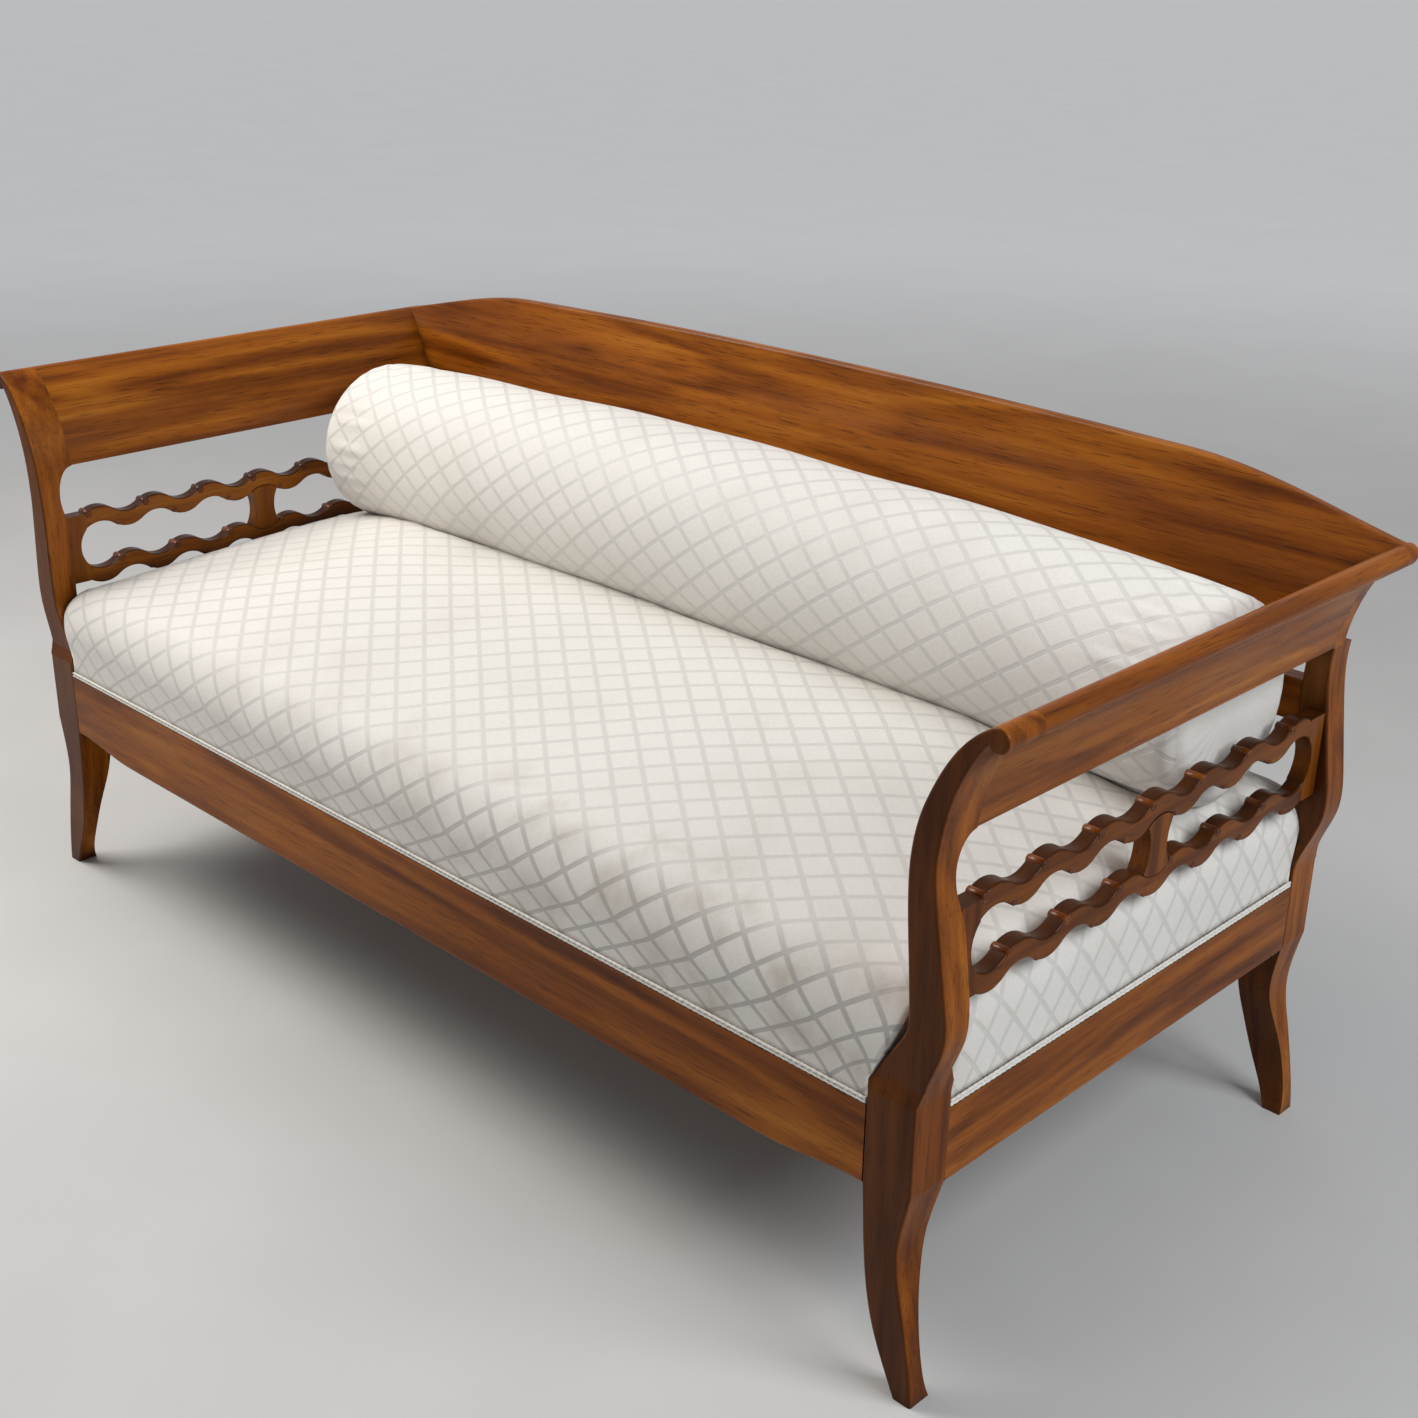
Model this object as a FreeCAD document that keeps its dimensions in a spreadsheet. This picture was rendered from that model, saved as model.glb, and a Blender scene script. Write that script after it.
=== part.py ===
import FreeCAD, Part
import math
import os

Vector = FreeCAD.Vector
Placement = FreeCAD.Placement
Rotation = FreeCAD.Rotation

# Driving sizes of the settee in millimetres
SIZES = {
    "half_depth": 404,        # middle to the front face of the front posts
    "post_reach": 874,        # middle to the outer face of a post at the seat rails
    "post_width": 64,
    "post_depth": 58,
    "stile_setback": 6,       # step back of a post's face above the seat rails
    "stile_depth": 44,        # front face of a front post to its rear face beside the openwork
    "knee_foot": 366,         # where a post's outer face begins to step back
    "knee_top": 384,
    "rear_knee_foot": 380,    # where a rear post's inner face steps back
    "rear_knee_top": 404,
    "rear_stile_front": 354,  # front face of a rear post above the seat rails
    "rail_top": 345,
    "rail_foot": 252,
    "rail_thick": 32,
    "long_rail_foot": 234,    # front and rear rails, along their middle
    "long_rail_end_foot": 247,
    "long_rail_lift_run": 150,
    "tenon_thick": 14,
    "tenon_tall": 60,
    "tenon_long": 36,
    "side_tenon_long": 32,
    "tenon_foot": 268,
    "arm_tenon_thick": 11,
    "arm_tenon_tall": 25,
    "arm_tenon_long": 22,
    "arm_tenon_lift": 24,     # above the lower edge of an arm rail
    "stay_tenon_thick": 10,
    "stay_tenon_margin": 12,  # shoulder above and below the tenon
    "stretcher_tall": 48,
    "stretcher_tenon_margin": 8,
    "arm_foot": 666,
    "roll_radius": 13,
    "crest_top": 868,
    "stay_foot": 560,
    "stay_tall": 55,
    "stay_thick": 24,
    "stay_setback": 2,        # behind the front face of the rear posts
    "stretcher_width": 50,
    "slat_inside": 859,       # middle to the inner face of the arm slats
    "slat_thick": 22,
    "slat_tall": 25,
    "upper_slat_level": 570,
    "lower_slat_level": 487,
    "wave_rise": 8,
    "strap_width": 32,
    "strap_hollow": 12,       # depth of the rounded inner edge of a strap
    "strut_waist": 8,
    "dowel_radius": 4,
    "dowel_long": 28,
    "arm_peg_lift": 40,       # above the lower edge of an arm rail
    "crest_peg_inset": 9,     # in from the outer face of the posts
    "block_leg": 70,
    "block_tall": 45,
    "block_foot": 285,
    "screw_back": 22,         # screw head to the inner face of a rail
    "screw_spread": 8,        # above or below the middle of a block
    "web_width": 55,
    "web_thick": 2,
    "web_step_across": 180,
    "web_step_along": 150,
    "cloth_margin": 8,        # webbing and hessian stop short of the rails' outer faces
    "hessian_thick": 1.5,
    "hessian_gap": 0.5,
    "cover_thick": 4,
    "cover_gap": 0.6,         # between a cover and what fills it
    "seat_room": 1,           # between the seat cover and the posts or braid
    "seat_border": 60,
    "seat_crown": 190,
    "shoulder_run": 50,
    "shoulder_rise": 72,
    "end_shoulder_run": 62.5,
    "dome_run": 420,          # from the end of the seat to where its crown is level
    "braid_tall": 8,
    "braid_thick": 3,
    "edge_round": 3,
    "bolster_radius": 138,
    "bolster_end_radius": 126,
    "bolster_half": 823,
    "bolster_shift": 22,      # the loose bolster lies nearer the right arm
    "bolster_back": 200,
    "bolster_level": 642,
    "bolster_rim": 28,        # rounding between the barrel and an end
    "bolster_dimple": 8,
    "bolster_cover_thick": 3,
}

doc = FreeCAD.newDocument("settee")
sheet = doc.addObject("Spreadsheet::Sheet", "sizes")
for row, (alias, number) in enumerate(SIZES.items(), start=1):
    sheet.set(f"A{row}", str(number))
    sheet.setAlias(f"A{row}", alias)
doc.recompute()


def size(alias):
    """Read one driving size from the sheet."""
    return float(sheet.get(alias))


half_depth = size("half_depth")
post_reach = size("post_reach")
post_inside = post_reach - size("post_width")
post_back = half_depth - size("post_depth")
rail_top = size("rail_top")
arm_foot = size("arm_foot")

# Outlines of a right-hand post seen from the front: across from the post's outer face, and up
LEG_OUTSIDE = [(18, 0), (8, 68), (-3, 120), (-13, 180), (-7, 228), (0, 260)]
STILE_OUTSIDE = [(0, 366), (9, 404), (23, 446), (21, 506), (9, 590), (5, 640)]
ARM_OUTSIDE = [(7, 666), (15, 706), (25, 735), (38, 762)]
ARM_INSIDE = [(-25, 666), (-18, 695), (-9, 718), (7, 750), (28, 779)]
STILE_INSIDE = [(-64, 368), (-58, 389), (-33, 430), (-23, 452), (-22, 478), (-26, 545), (-29, 610)]
LEG_INSIDE = [(-64, 252), (-57, 160), (-39, 72), (-24, 36), (-7, 0)]
# A front post seen from the side: behind the post's front face, and up
LEG_BACK = [(58, 252), (52, 210), (44, 166), (31, 120), (23, 61), (26, 18), (32, 0)]
STILE_FRONT = [(6, 384), (6, 455), (3, 545), (0, 640)]
STILE_BACK = [(58, 666), (46, 661), (37, 648), (32, 628), (33, 606), (39, 584), (44, 560)]
# The roll along the top of an arm, and the angles where the two faces of the arm run into it
ROLL_ACROSS = 63
ROLL_LEVEL = 791
ROLL_INSIDE_ANGLE = 132
ROLL_OUTSIDE_ANGLE = 215
ROLL_TIP_ANGLE = -20
ROLL_TOP_ANGLE = 90
# Section of the back board: behind the middle, and up
CREST_FRONT = [(352, 666), (352, 712), (355, 755), (362, 785), (371, 808), (380, 840), (387, 872)]
CREST_REAR = [(376, 666), (376, 712), (378, 752), (384, 784), (391, 808), (398, 840), (402, 872)]
# Right half of the arch along the top of the back board: across, and down from its highest point
ARCH_SHOULDER = [(640, -11), (790, -32), (880, -52)]
# Places of the seat's sections, in from its end
STATIONS = [0, 3, 10, 22, 38, 60, 95, 160, 270, 420, 640]
# Shares of the shoulder and of the dome that already stand at the very end of the seat
END_SHOULDER_SHARE = 0.08
END_DOME_SHARE = 0.1
# Crown of the seat from front to back: shares of the half depth and of the dome, low under the bolster
CROWN_SHAPE = [(-0.57, 0.68), (-0.12, 1), (0.28, 0.74), (0.57, 0.38)]
# Place of the middle of a quarter round, as a share of its run
HALFWAY = math.sqrt(0.5)
WAVES = 13
WEBS_ACROSS = 9
WEBS_ALONG = 4
# Beyond every piece, for outlines that cut right through
CLEAR = 1200


def line(start, end):
    """Straight edge between two sketch points."""
    return Part.LineSegment(Vector(*start, 0), Vector(*end, 0))


def arc(start, middle, end):
    """Round edge through three sketch points."""
    return Part.Arc(Vector(*start, 0), Vector(*middle, 0), Vector(*end, 0))


def curve(points, leave=None, arrive=None):
    """Smooth edge through sketch points, with the two end directions where they matter."""
    edge = Part.BSplineCurve()
    places = [Vector(*point, 0) for point in points]
    if leave is None:
        edge.interpolate(Points=places)
    else:
        edge.interpolate(Points=places, InitialTangent=Vector(*leave, 0), FinalTangent=Vector(*arrive, 0))
    return edge


def polygon(points):
    """Closed outline of straight edges."""
    return [line(a, b) for a, b in zip(points, points[1:] + points[:1])]


def frame_of(points_low, points_high):
    """Closed rectangle from its lowest to its highest corner."""
    (x0, y0), (x1, y1) = points_low, points_high
    return polygon([(x0, y0), (x1, y0), (x1, y1), (x0, y1)])


SURROUND = frame_of((-2 * CLEAR, -2 * CLEAR), (2 * CLEAR, 2 * CLEAR))


def on_post(points, side):
    """Post outline points placed on the right (1) or left (-1) of the settee."""
    return [(side * (post_reach + across), up) for across, up in points]


def roll_point(angle, side):
    """Point on the roll of an arm at an angle seen from the front."""
    turn = math.radians(angle)
    across = ROLL_ACROSS + size("roll_radius") * math.cos(turn)
    up = ROLL_LEVEL + size("roll_radius") * math.sin(turn)
    return side * (post_reach + across), up


# Helpers that add a feature to a body
sub_parts = []


def new_body(label):
    """Start one sub-part."""
    body = doc.addObject("PartDesign::Body", label)
    body.Label = label
    sub_parts.append(body)
    return body


def sketch(body, role, edges, offset="0"):
    """Sketch on one of the body's own planes, moved along the plane's normal by a formula."""
    outline = body.newObject("Sketcher::SketchObject", body.Label + "_outline")
    plane = [feature for feature in body.Origin.OriginFeatures if feature.Role == role][0]
    outline.AttachmentSupport = [(plane, "")]
    outline.MapMode = "FlatFace"
    outline.setExpression("AttachmentOffset.Base.z", offset)
    outline.addGeometry(edges, False)
    return outline


def pad(body, role, edges, offset, length):
    """Solid raised from an outline along the plane's normal."""
    feature = body.newObject("PartDesign::Pad", body.Label + "_pad")
    feature.Profile = sketch(body, role, edges, offset)
    feature.setExpression("Length", length)
    doc.recompute()


def cut_through(body, role, edges):
    """Remove everything that an outline covers, right through the body."""
    feature = body.newObject("PartDesign::Pocket", body.Label + "_cut")
    feature.Profile = sketch(body, role, edges)
    feature.SideType = "Symmetric"
    feature.Length = 2 * CLEAR
    before = body.Shape.Volume
    doc.recompute()
    if body.Shape.Volume > before - 1:
        raise RuntimeError(body.Label + ": a cut removed nothing")


def keep_inside(body, role, edges):
    """Remove everything outside a closed outline."""
    cut_through(body, role, SURROUND + edges)


def box_feature(body, kind, low, high):
    """Tenon (Additive) or mortise (Subtractive) between two corners, each a formula per axis."""
    feature = body.newObject(f"PartDesign::{kind}Box", f"{body.Label}_{kind}")
    for axis, letter in enumerate("xyz"):
        feature.setExpression(f"Placement.Base.{letter}", low[axis])
        extent = ("Length", "Width", "Height")[axis]
        feature.setExpression(extent, f"({high[axis]}) - ({low[axis]})")
    doc.recompute()


def peg_placement(centre, along):
    """Placement of a dowel whose middle is at a point and which lies along Y or Z."""
    shift = size("dowel_long") / 2
    if along == "y":
        return Placement(Vector(*centre) + Vector(0, shift, 0), Rotation(Vector(1, 0, 0), 90))
    return Placement(Vector(*centre) - Vector(0, 0, shift), Rotation())


def bore(body, centre, along):
    """Hole for a dowel whose middle is at a point."""
    hole = body.newObject("PartDesign::SubtractiveCylinder", body.Label + "_bore")
    hole.setExpression("Radius", "sizes.dowel_radius")
    hole.setExpression("Height", "sizes.dowel_long")
    hole.Placement = peg_placement(centre, along)
    doc.recompute()


def round_edges(body, chosen, radius):
    """Round the edges of the body's last solid that a test picks out."""
    base = body.Tip
    names = [f"Edge{i}" for i, edge in enumerate(base.Shape.Edges, start=1) if chosen(edge)]
    feature = body.newObject("PartDesign::Fillet", body.Label + "_round")
    feature.Base = (base, names)
    feature.setExpression("Radius", radius)
    doc.recompute()


def group(label, members):
    """Several separate solids that share one node."""
    node = doc.addObject("Part::Compound", label)
    node.Label = label
    node.Links = members
    sub_parts.append(node)


def plain_box(name, low, high):
    """Rectangular solid between two corners, each a formula per axis."""
    solid = doc.addObject("Part::Box", name)
    for axis, letter in enumerate("xyz"):
        solid.setExpression(f"Placement.Base.{letter}", low[axis])
        extent = ("Length", "Width", "Height")[axis]
        solid.setExpression(extent, f"({high[axis]}) - ({low[axis]})")
    return solid


SIDES = {"left": -1, "right": 1}
dowel_places = []


# Posts: each is a sabre leg that runs on up as a stile
def post_edges(side, has_scroll):
    """Outline of a post seen from the front."""
    leg_outside = on_post(LEG_OUTSIDE, side)
    leg_inside = on_post(LEG_INSIDE, side)
    if has_scroll:
        inside = on_post(STILE_INSIDE + ARM_INSIDE, side) + [roll_point(ROLL_INSIDE_ANGLE, side)]
        outside = on_post(STILE_OUTSIDE + ARM_OUTSIDE, side) + [roll_point(ROLL_OUTSIDE_ANGLE, side)]
        head = arc(outside[-1], roll_point(ROLL_TIP_ANGLE, side), inside[-1])
    else:
        inside = on_post(STILE_INSIDE + ARM_INSIDE[:1], side)
        outside = on_post(STILE_OUTSIDE + ARM_OUTSIDE[:1], side)
        head = line(outside[-1], inside[-1])
    inside.reverse()
    return [
        curve(leg_outside),
        line(leg_outside[-1], outside[0]),
        curve(outside),
        head,
        curve(inside),
        line(inside[-1], leg_inside[0]),
        curve(leg_inside),
        line(leg_inside[-1], leg_outside[0]),
    ]


def chain(points):
    """Straight edges from point to point."""
    return [line(a, b) for a, b in zip(points, points[1:])]


def front_post_side():
    """Outline of a front post seen from the side."""
    face = -half_depth
    leg_back, stile_front, stile_back = ([(face + behind, up) for behind, up in points]
                                         for points in (LEG_BACK, STILE_FRONT, STILE_BACK))
    front = chain([leg_back[-1], (face, 0), (face, size("knee_foot")), *stile_front, (face, CLEAR),
                   (-post_back, CLEAR), stile_back[0]])
    waist = chain([stile_back[-1], (stile_back[-1][0], size("rear_knee_top")),
                   (-post_back, size("rear_knee_foot")), leg_back[0]])
    return front + [curve(stile_back)] + waist + [curve(leg_back)]


def rear_post_side():
    """Outline of a rear post seen from the side."""
    leg_front = [(half_depth - behind, up) for behind, up in LEG_BACK]
    stile_rear = half_depth - size("stile_setback")
    stile_front = size("rear_stile_front")
    straight = [leg_front[-1], (half_depth, 0), (half_depth, size("knee_foot")),
                (stile_rear, size("knee_top")), (stile_rear, CLEAR), (stile_front, CLEAR),
                (stile_front, size("rear_knee_top")), (post_back, size("rear_knee_foot")), leg_front[0]]
    return chain(straight) + [curve(leg_front)]


def front_arris(edge):
    """True for the lengthwise arrises of a front post's front face."""
    box = edge.BoundBox
    return box.ZLength > size("stile_depth") / 2 and box.YMax < 2 * size("stile_setback") - half_depth


def upright_arris(edge):
    """True for the lengthwise arrises of a rear post that stay in one upright plane."""
    box = edge.BoundBox
    return box.ZLength > size("stile_depth") / 2 and box.YLength < 0.01


def seat_tenon_mortises(post, side, end):
    """Mortises for the seat rails; end is -1 at the front and 1 at the back."""
    low_z, high_z = "sizes.tenon_foot", "sizes.tenon_foot + sizes.tenon_tall"
    box_feature(post, "Subtractive", *end_rail_tenon(side, end, low_z, high_z))
    box_feature(post, "Subtractive", *side_rail_tenon(side, end, low_z, high_z))


def ordered(one, other, side):
    """Two mirrored formulas in rising order."""
    return (one, other) if side > 0 else (f"-({other})", f"-({one})")


def end_rail_tenon(side, end, low_z, high_z):
    """Corners of a tenon of the front or rear seat rail."""
    x = ordered("sizes.post_reach - sizes.post_width",
                "sizes.post_reach - sizes.post_width + sizes.tenon_long", side)
    middle = "sizes.half_depth - sizes.rail_thick / 2"
    y = ordered(f"{middle} - sizes.tenon_thick / 2", f"{middle} + sizes.tenon_thick / 2", end)
    return (x[0], y[0], low_z), (x[1], y[1], high_z)


def side_rail_tenon(side, end, low_z, high_z):
    """Corners of a tenon of a left or right seat rail."""
    middle = "sizes.post_reach - sizes.rail_thick / 2"
    x = ordered(f"{middle} - sizes.tenon_thick / 2", f"{middle} + sizes.tenon_thick / 2", side)
    y = ordered("sizes.half_depth - sizes.post_depth",
                "sizes.half_depth - sizes.post_depth + sizes.side_tenon_long", end)
    return (x[0], y[0], low_z), (x[1], y[1], high_z)


def arm_tenon(side):
    """Corners of the tenon of an arm rail in a front post."""
    x = ordered("sizes.post_reach - sizes.arm_tenon_thick / 2",
                "sizes.post_reach + sizes.arm_tenon_thick / 2", side)
    y = ("-(sizes.half_depth - sizes.post_depth + sizes.arm_tenon_long)",
         "-(sizes.half_depth - sizes.post_depth)")
    foot = "sizes.arm_foot + sizes.arm_tenon_lift"
    return (x[0], y[0], foot), (x[1], y[1], f"{foot} + sizes.arm_tenon_tall")


def stay_tenon(side):
    """Corners of a tenon of the stay rail in a rear post."""
    x = ordered("sizes.post_reach - sizes.tenon_long", "sizes.post_reach - sizes.dowel_radius * 2", side)
    middle = "sizes.rear_stile_front + sizes.stay_thick / 2"
    y = (f"{middle} - sizes.stay_tenon_thick / 2", f"{middle} + sizes.stay_tenon_thick / 2")
    low = "sizes.stay_foot + sizes.stay_tenon_margin"
    high = "sizes.stay_foot + sizes.stay_tall - sizes.stay_tenon_margin"
    return (x[0], y[0], low), (x[1], y[1], high)


slat_middle = size("slat_inside") + size("slat_thick") / 2
strap_level = (size("upper_slat_level") + size("lower_slat_level")) / 2
opening = {"front": size("stile_depth") - half_depth, "rear": size("rear_stile_front")}
crest_peg_across = post_reach - size("crest_peg_inset")
crest_peg_back = (CREST_FRONT[0][0] + CREST_REAR[0][0]) / 2
arm_peg_level = arm_foot + size("arm_peg_lift")


def front_post(name, side):
    """One front post with its scroll and mortises."""
    post = new_body(f"front_{name}_post")
    pad(post, "XZ_Plane", post_edges(side, True), "sizes.half_depth - sizes.post_depth", "sizes.post_depth")
    keep_inside(post, "YZ_Plane", front_post_side())
    round_edges(post, front_arris, "sizes.edge_round")
    seat_tenon_mortises(post, side, -1)
    box_feature(post, "Subtractive", *arm_tenon(side))
    peg = (side * slat_middle, opening["front"], strap_level)
    bore(post, peg, "y")
    dowel_places.append((peg, "y"))


def rear_post(name, side):
    """One rear post, which ends under the corner of the arm and the back board."""
    post = new_body(f"rear_{name}_post")
    pad(post, "XZ_Plane", post_edges(side, False), "-sizes.half_depth", "sizes.post_depth")
    keep_inside(post, "YZ_Plane", rear_post_side())
    round_edges(post, upright_arris, "sizes.edge_round")
    seat_tenon_mortises(post, side, 1)
    box_feature(post, "Subtractive", *stay_tenon(side))
    for peg, along in (((side * slat_middle, opening["rear"], strap_level), "y"),
                       ((side * crest_peg_across, crest_peg_back, arm_foot), "z")):
        bore(post, peg, along)
        dowel_places.append((peg, along))


# Seat rails, tenoned into the posts
def lower_outer_edge(axis, reach):
    """Test for the long lower edge of a rail on its outer face."""
    def chosen(edge):
        box = edge.BoundBox
        low, high = (box.YMin, box.YMax) if axis == "y" else (box.XMin, box.XMax)
        on_face = abs(low - reach) < 0.01 and abs(high - reach) < 0.01
        longest = max(box.XLength, box.YLength)
        return on_face and longest > size("post_depth") and box.ZMax < rail_top - size("rail_thick")
    return chosen


def end_rail(label, end):
    """Front (-1) or rear (1) seat rail, whose lower edge lifts a little at the posts."""
    foot, end_foot = size("long_rail_foot"), size("long_rail_end_foot")
    run = size("long_rail_lift_run")
    halfway = (post_inside - run / 2, (foot + end_foot) / 2)
    right_lift = [(post_inside - run, foot), halfway, (post_inside, end_foot)]
    left_lift = [(-x, z) for x, z in reversed(right_lift)]
    edges = [
        line((-post_inside, rail_top), (-post_inside, end_foot)),
        curve(left_lift, (1, 0), (1, 0)),
        line(left_lift[-1], right_lift[0]),
        curve(right_lift, (1, 0), (1, 0)),
        line((post_inside, end_foot), (post_inside, rail_top)),
        line((post_inside, rail_top), (-post_inside, rail_top)),
    ]
    rail = new_body(label)
    offset = "sizes.half_depth - sizes.rail_thick" if end < 0 else "-sizes.half_depth"
    pad(rail, "XZ_Plane", edges, offset, "sizes.rail_thick")
    round_edges(rail, lower_outer_edge("y", end * half_depth), "2 * sizes.edge_round")
    for side in SIDES.values():
        box_feature(rail, "Additive", *end_rail_tenon(side, end, "sizes.tenon_foot",
                                                      "sizes.tenon_foot + sizes.tenon_tall"))
    box_feature(rail, "Subtractive", *stretcher_tenon(end))


def side_rail(name, side):
    """Left or right seat rail."""
    rail = new_body(f"{name}_seat_rail")
    inner = post_reach - size("rail_thick")
    x0, x1 = sorted((side * inner, side * post_reach))
    edges = frame_of((x0, size("rail_foot")), (x1, rail_top))
    pad(rail, "XZ_Plane", edges, "-(sizes.half_depth - sizes.post_depth)",
        "2 * (sizes.half_depth - sizes.post_depth)")
    round_edges(rail, lower_outer_edge("x", side * post_reach), "2 * sizes.edge_round")
    for end in (-1, 1):
        box_feature(rail, "Additive", *side_rail_tenon(side, end, "sizes.tenon_foot",
                                                       "sizes.tenon_foot + sizes.tenon_tall"))


def stretcher_tenon(end):
    """Corners of a tenon of the stretcher in the front or rear seat rail."""
    y = ordered("sizes.half_depth - sizes.rail_thick", "sizes.half_depth - sizes.rail_thick / 2", end)
    low = "sizes.tenon_foot + sizes.stretcher_tenon_margin"
    high = "sizes.tenon_foot + sizes.stretcher_tall - sizes.stretcher_tenon_margin"
    return ("-sizes.tenon_thick / 2", y[0], low), ("sizes.tenon_thick / 2", y[1], high)


def seat_stretcher():
    """Bearer from the front rail to the rear rail that keeps them apart."""
    bearer = new_body("seat_stretcher")
    inside = "(sizes.half_depth - sizes.rail_thick)"
    box_feature(bearer, "Additive", ("-sizes.stretcher_width / 2", f"-{inside}", "sizes.tenon_foot"),
                ("sizes.stretcher_width / 2", inside, "sizes.tenon_foot + sizes.stretcher_tall"))
    for end in (-1, 1):
        box_feature(bearer, "Additive", *stretcher_tenon(end))


# Arm rails: flared boards with a roll along the outer edge, coped to the back board
def arm_edges(side):
    """Section of an arm rail seen from the front."""
    inside = on_post(ARM_INSIDE, side) + [roll_point(ROLL_INSIDE_ANGLE, side)]
    outside = on_post(ARM_OUTSIDE, side) + [roll_point(ROLL_OUTSIDE_ANGLE, side)]
    return [
        curve(inside),
        arc(inside[-1], roll_point(ROLL_TIP_ANGLE, side), outside[-1]),
        curve(outside[::-1]),
        line(outside[0], inside[0]),
    ]


def behind_crest():
    """Area behind the front face of the back board, seen from the side."""
    face = curve(CREST_FRONT)
    low, high = CREST_FRONT[0], CREST_FRONT[-1]
    around = [high, (high[0], CLEAR), (CLEAR, CLEAR), (CLEAR, 0), (low[0], 0), low]
    return [face] + chain(around)


def arm_rail(name, side):
    """One arm rail with its front tenon and its rear dowel."""
    rail = new_body(f"{name}_arm_rail")
    pad(rail, "XZ_Plane", arm_edges(side), "-sizes.half_depth", "2 * sizes.half_depth - sizes.post_depth")
    cut_through(rail, "YZ_Plane", behind_crest())
    round_edges(rail, lambda edge: edge.BoundBox.YLength > half_depth and edge.BoundBox.ZMax < arm_foot + 1,
                "sizes.edge_round")
    box_feature(rail, "Additive", *arm_tenon(side))
    peg = (side * post_reach, CREST_FRONT[0][0], arm_peg_level)
    bore(rail, peg, "y")
    dowel_places.append((peg, "y"))


# Back board and stay rail
def crest_edges():
    """Outline of the back board seen from the front: flared ends, rolls and the arched top."""
    top = size("crest_top")
    shoulder = [(x, top + drop) for x, drop in ARCH_SHOULDER]
    edges = []
    for side in SIDES.values():
        outside = on_post(ARM_OUTSIDE, side) + [roll_point(ROLL_OUTSIDE_ANGLE, side)]
        slope = [roll_point(ROLL_TOP_ANGLE, side)] + [(side * x, z) for x, z in reversed(shoulder)]
        edges.append(curve(outside))
        edges.append(arc(outside[-1], roll_point(ROLL_TIP_ANGLE, side), slope[0]))
        edges.append(curve(slope))
    ends = [(side * shoulder[0][0], shoulder[0][1]) for side in (-1, 1)]
    edges.append(arc(ends[0], (0, top), ends[1]))
    feet = [on_post(ARM_OUTSIDE[:1], side)[0] for side in (-1, 1)]
    edges.append(line(feet[0], feet[1]))
    return edges


def back_board():
    """Flared board along the back with an arched top."""
    board = new_body("back_board")
    section = [
        curve(CREST_FRONT),
        line(CREST_FRONT[-1], CREST_REAR[-1]),
        curve(CREST_REAR[::-1]),
        line(CREST_REAR[0], CREST_FRONT[0]),
    ]
    half_long = "(sizes.post_reach + 2 * sizes.post_width)"
    pad(board, "YZ_Plane", section, f"-{half_long}", f"2 * {half_long}")
    keep_inside(board, "XZ_Plane", crest_edges())
    round_edges(board, lambda edge: edge.BoundBox.XLength > size("long_rail_lift_run")
                and edge.BoundBox.ZMin > arm_peg_level, "1.5 * sizes.edge_round")
    for side in SIDES.values():
        bore(board, (side * post_reach, CREST_FRONT[0][0], arm_peg_level), "y")
        bore(board, (side * crest_peg_across, crest_peg_back, arm_foot), "z")


def stay_rail():
    """Plain rail low in the back, coped and tenoned to the rear posts."""
    rail = new_body("back_stay_rail")
    low = size("stay_foot")
    edges = frame_of((-post_reach, low), (post_reach, low + size("stay_tall")))
    pad(rail, "XZ_Plane", edges, "-(sizes.rear_stile_front + sizes.stay_thick + sizes.stay_setback)",
        "sizes.stay_thick")
    for side in SIDES.values():
        inside = on_post(STILE_INSIDE + ARM_INSIDE[:1], side)
        first, last = inside[0], inside[-1]
        around = [last, (side * CLEAR, last[1]), (side * CLEAR, first[1]), first]
        cut_through(rail, "XZ_Plane", [curve(inside)] + chain(around))
        box_feature(rail, "Additive", *stay_tenon(side))


# Openwork of the arms: two wave slats, end straps and a centre strut
slat_start = opening["front"] + size("strap_width")
slat_end = opening["rear"] - size("strap_width")
wave_step = (slat_end - slat_start) / WAVES


def wave(level, first_way):
    """Edges of one wavy line from front to back, starting up (1) or down (-1)."""
    edges = []
    for step in range(WAVES):
        y0 = slat_start + step * wave_step
        way = first_way * (1 if step % 2 == 0 else -1)
        middle = (y0 + wave_step / 2, level + way * size("wave_rise"))
        edges.append(arc((y0, level), middle, (y0 + wave_step, level)))
    return edges


def slat(label, side, level, first_way):
    """One wave slat."""
    body = new_body(label)
    low, high = level - size("slat_tall") / 2, level + size("slat_tall") / 2
    edges = wave(high, first_way) + wave(low, first_way)
    edges += [line((slat_start, low), (slat_start, high)), line((slat_end, low), (slat_end, high))]
    pad(body, "YZ_Plane", edges, slat_offset(side), "sizes.slat_thick")
    round_edges(body, lambda edge: edge.BoundBox.XLength < 0.01 and edge.BoundBox.YLength > wave_step / 2,
                "sizes.edge_round")
    for end in (slat_start, slat_end):
        peg = (side * slat_middle, end, level)
        bore(body, peg, "y")
        dowel_places.append((peg, "y"))


def slat_offset(side):
    """Formula for the inner or outer face of the openwork, whichever has the lower X."""
    return "sizes.slat_inside" if side > 0 else "-sizes.slat_inside - sizes.slat_thick"


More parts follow.
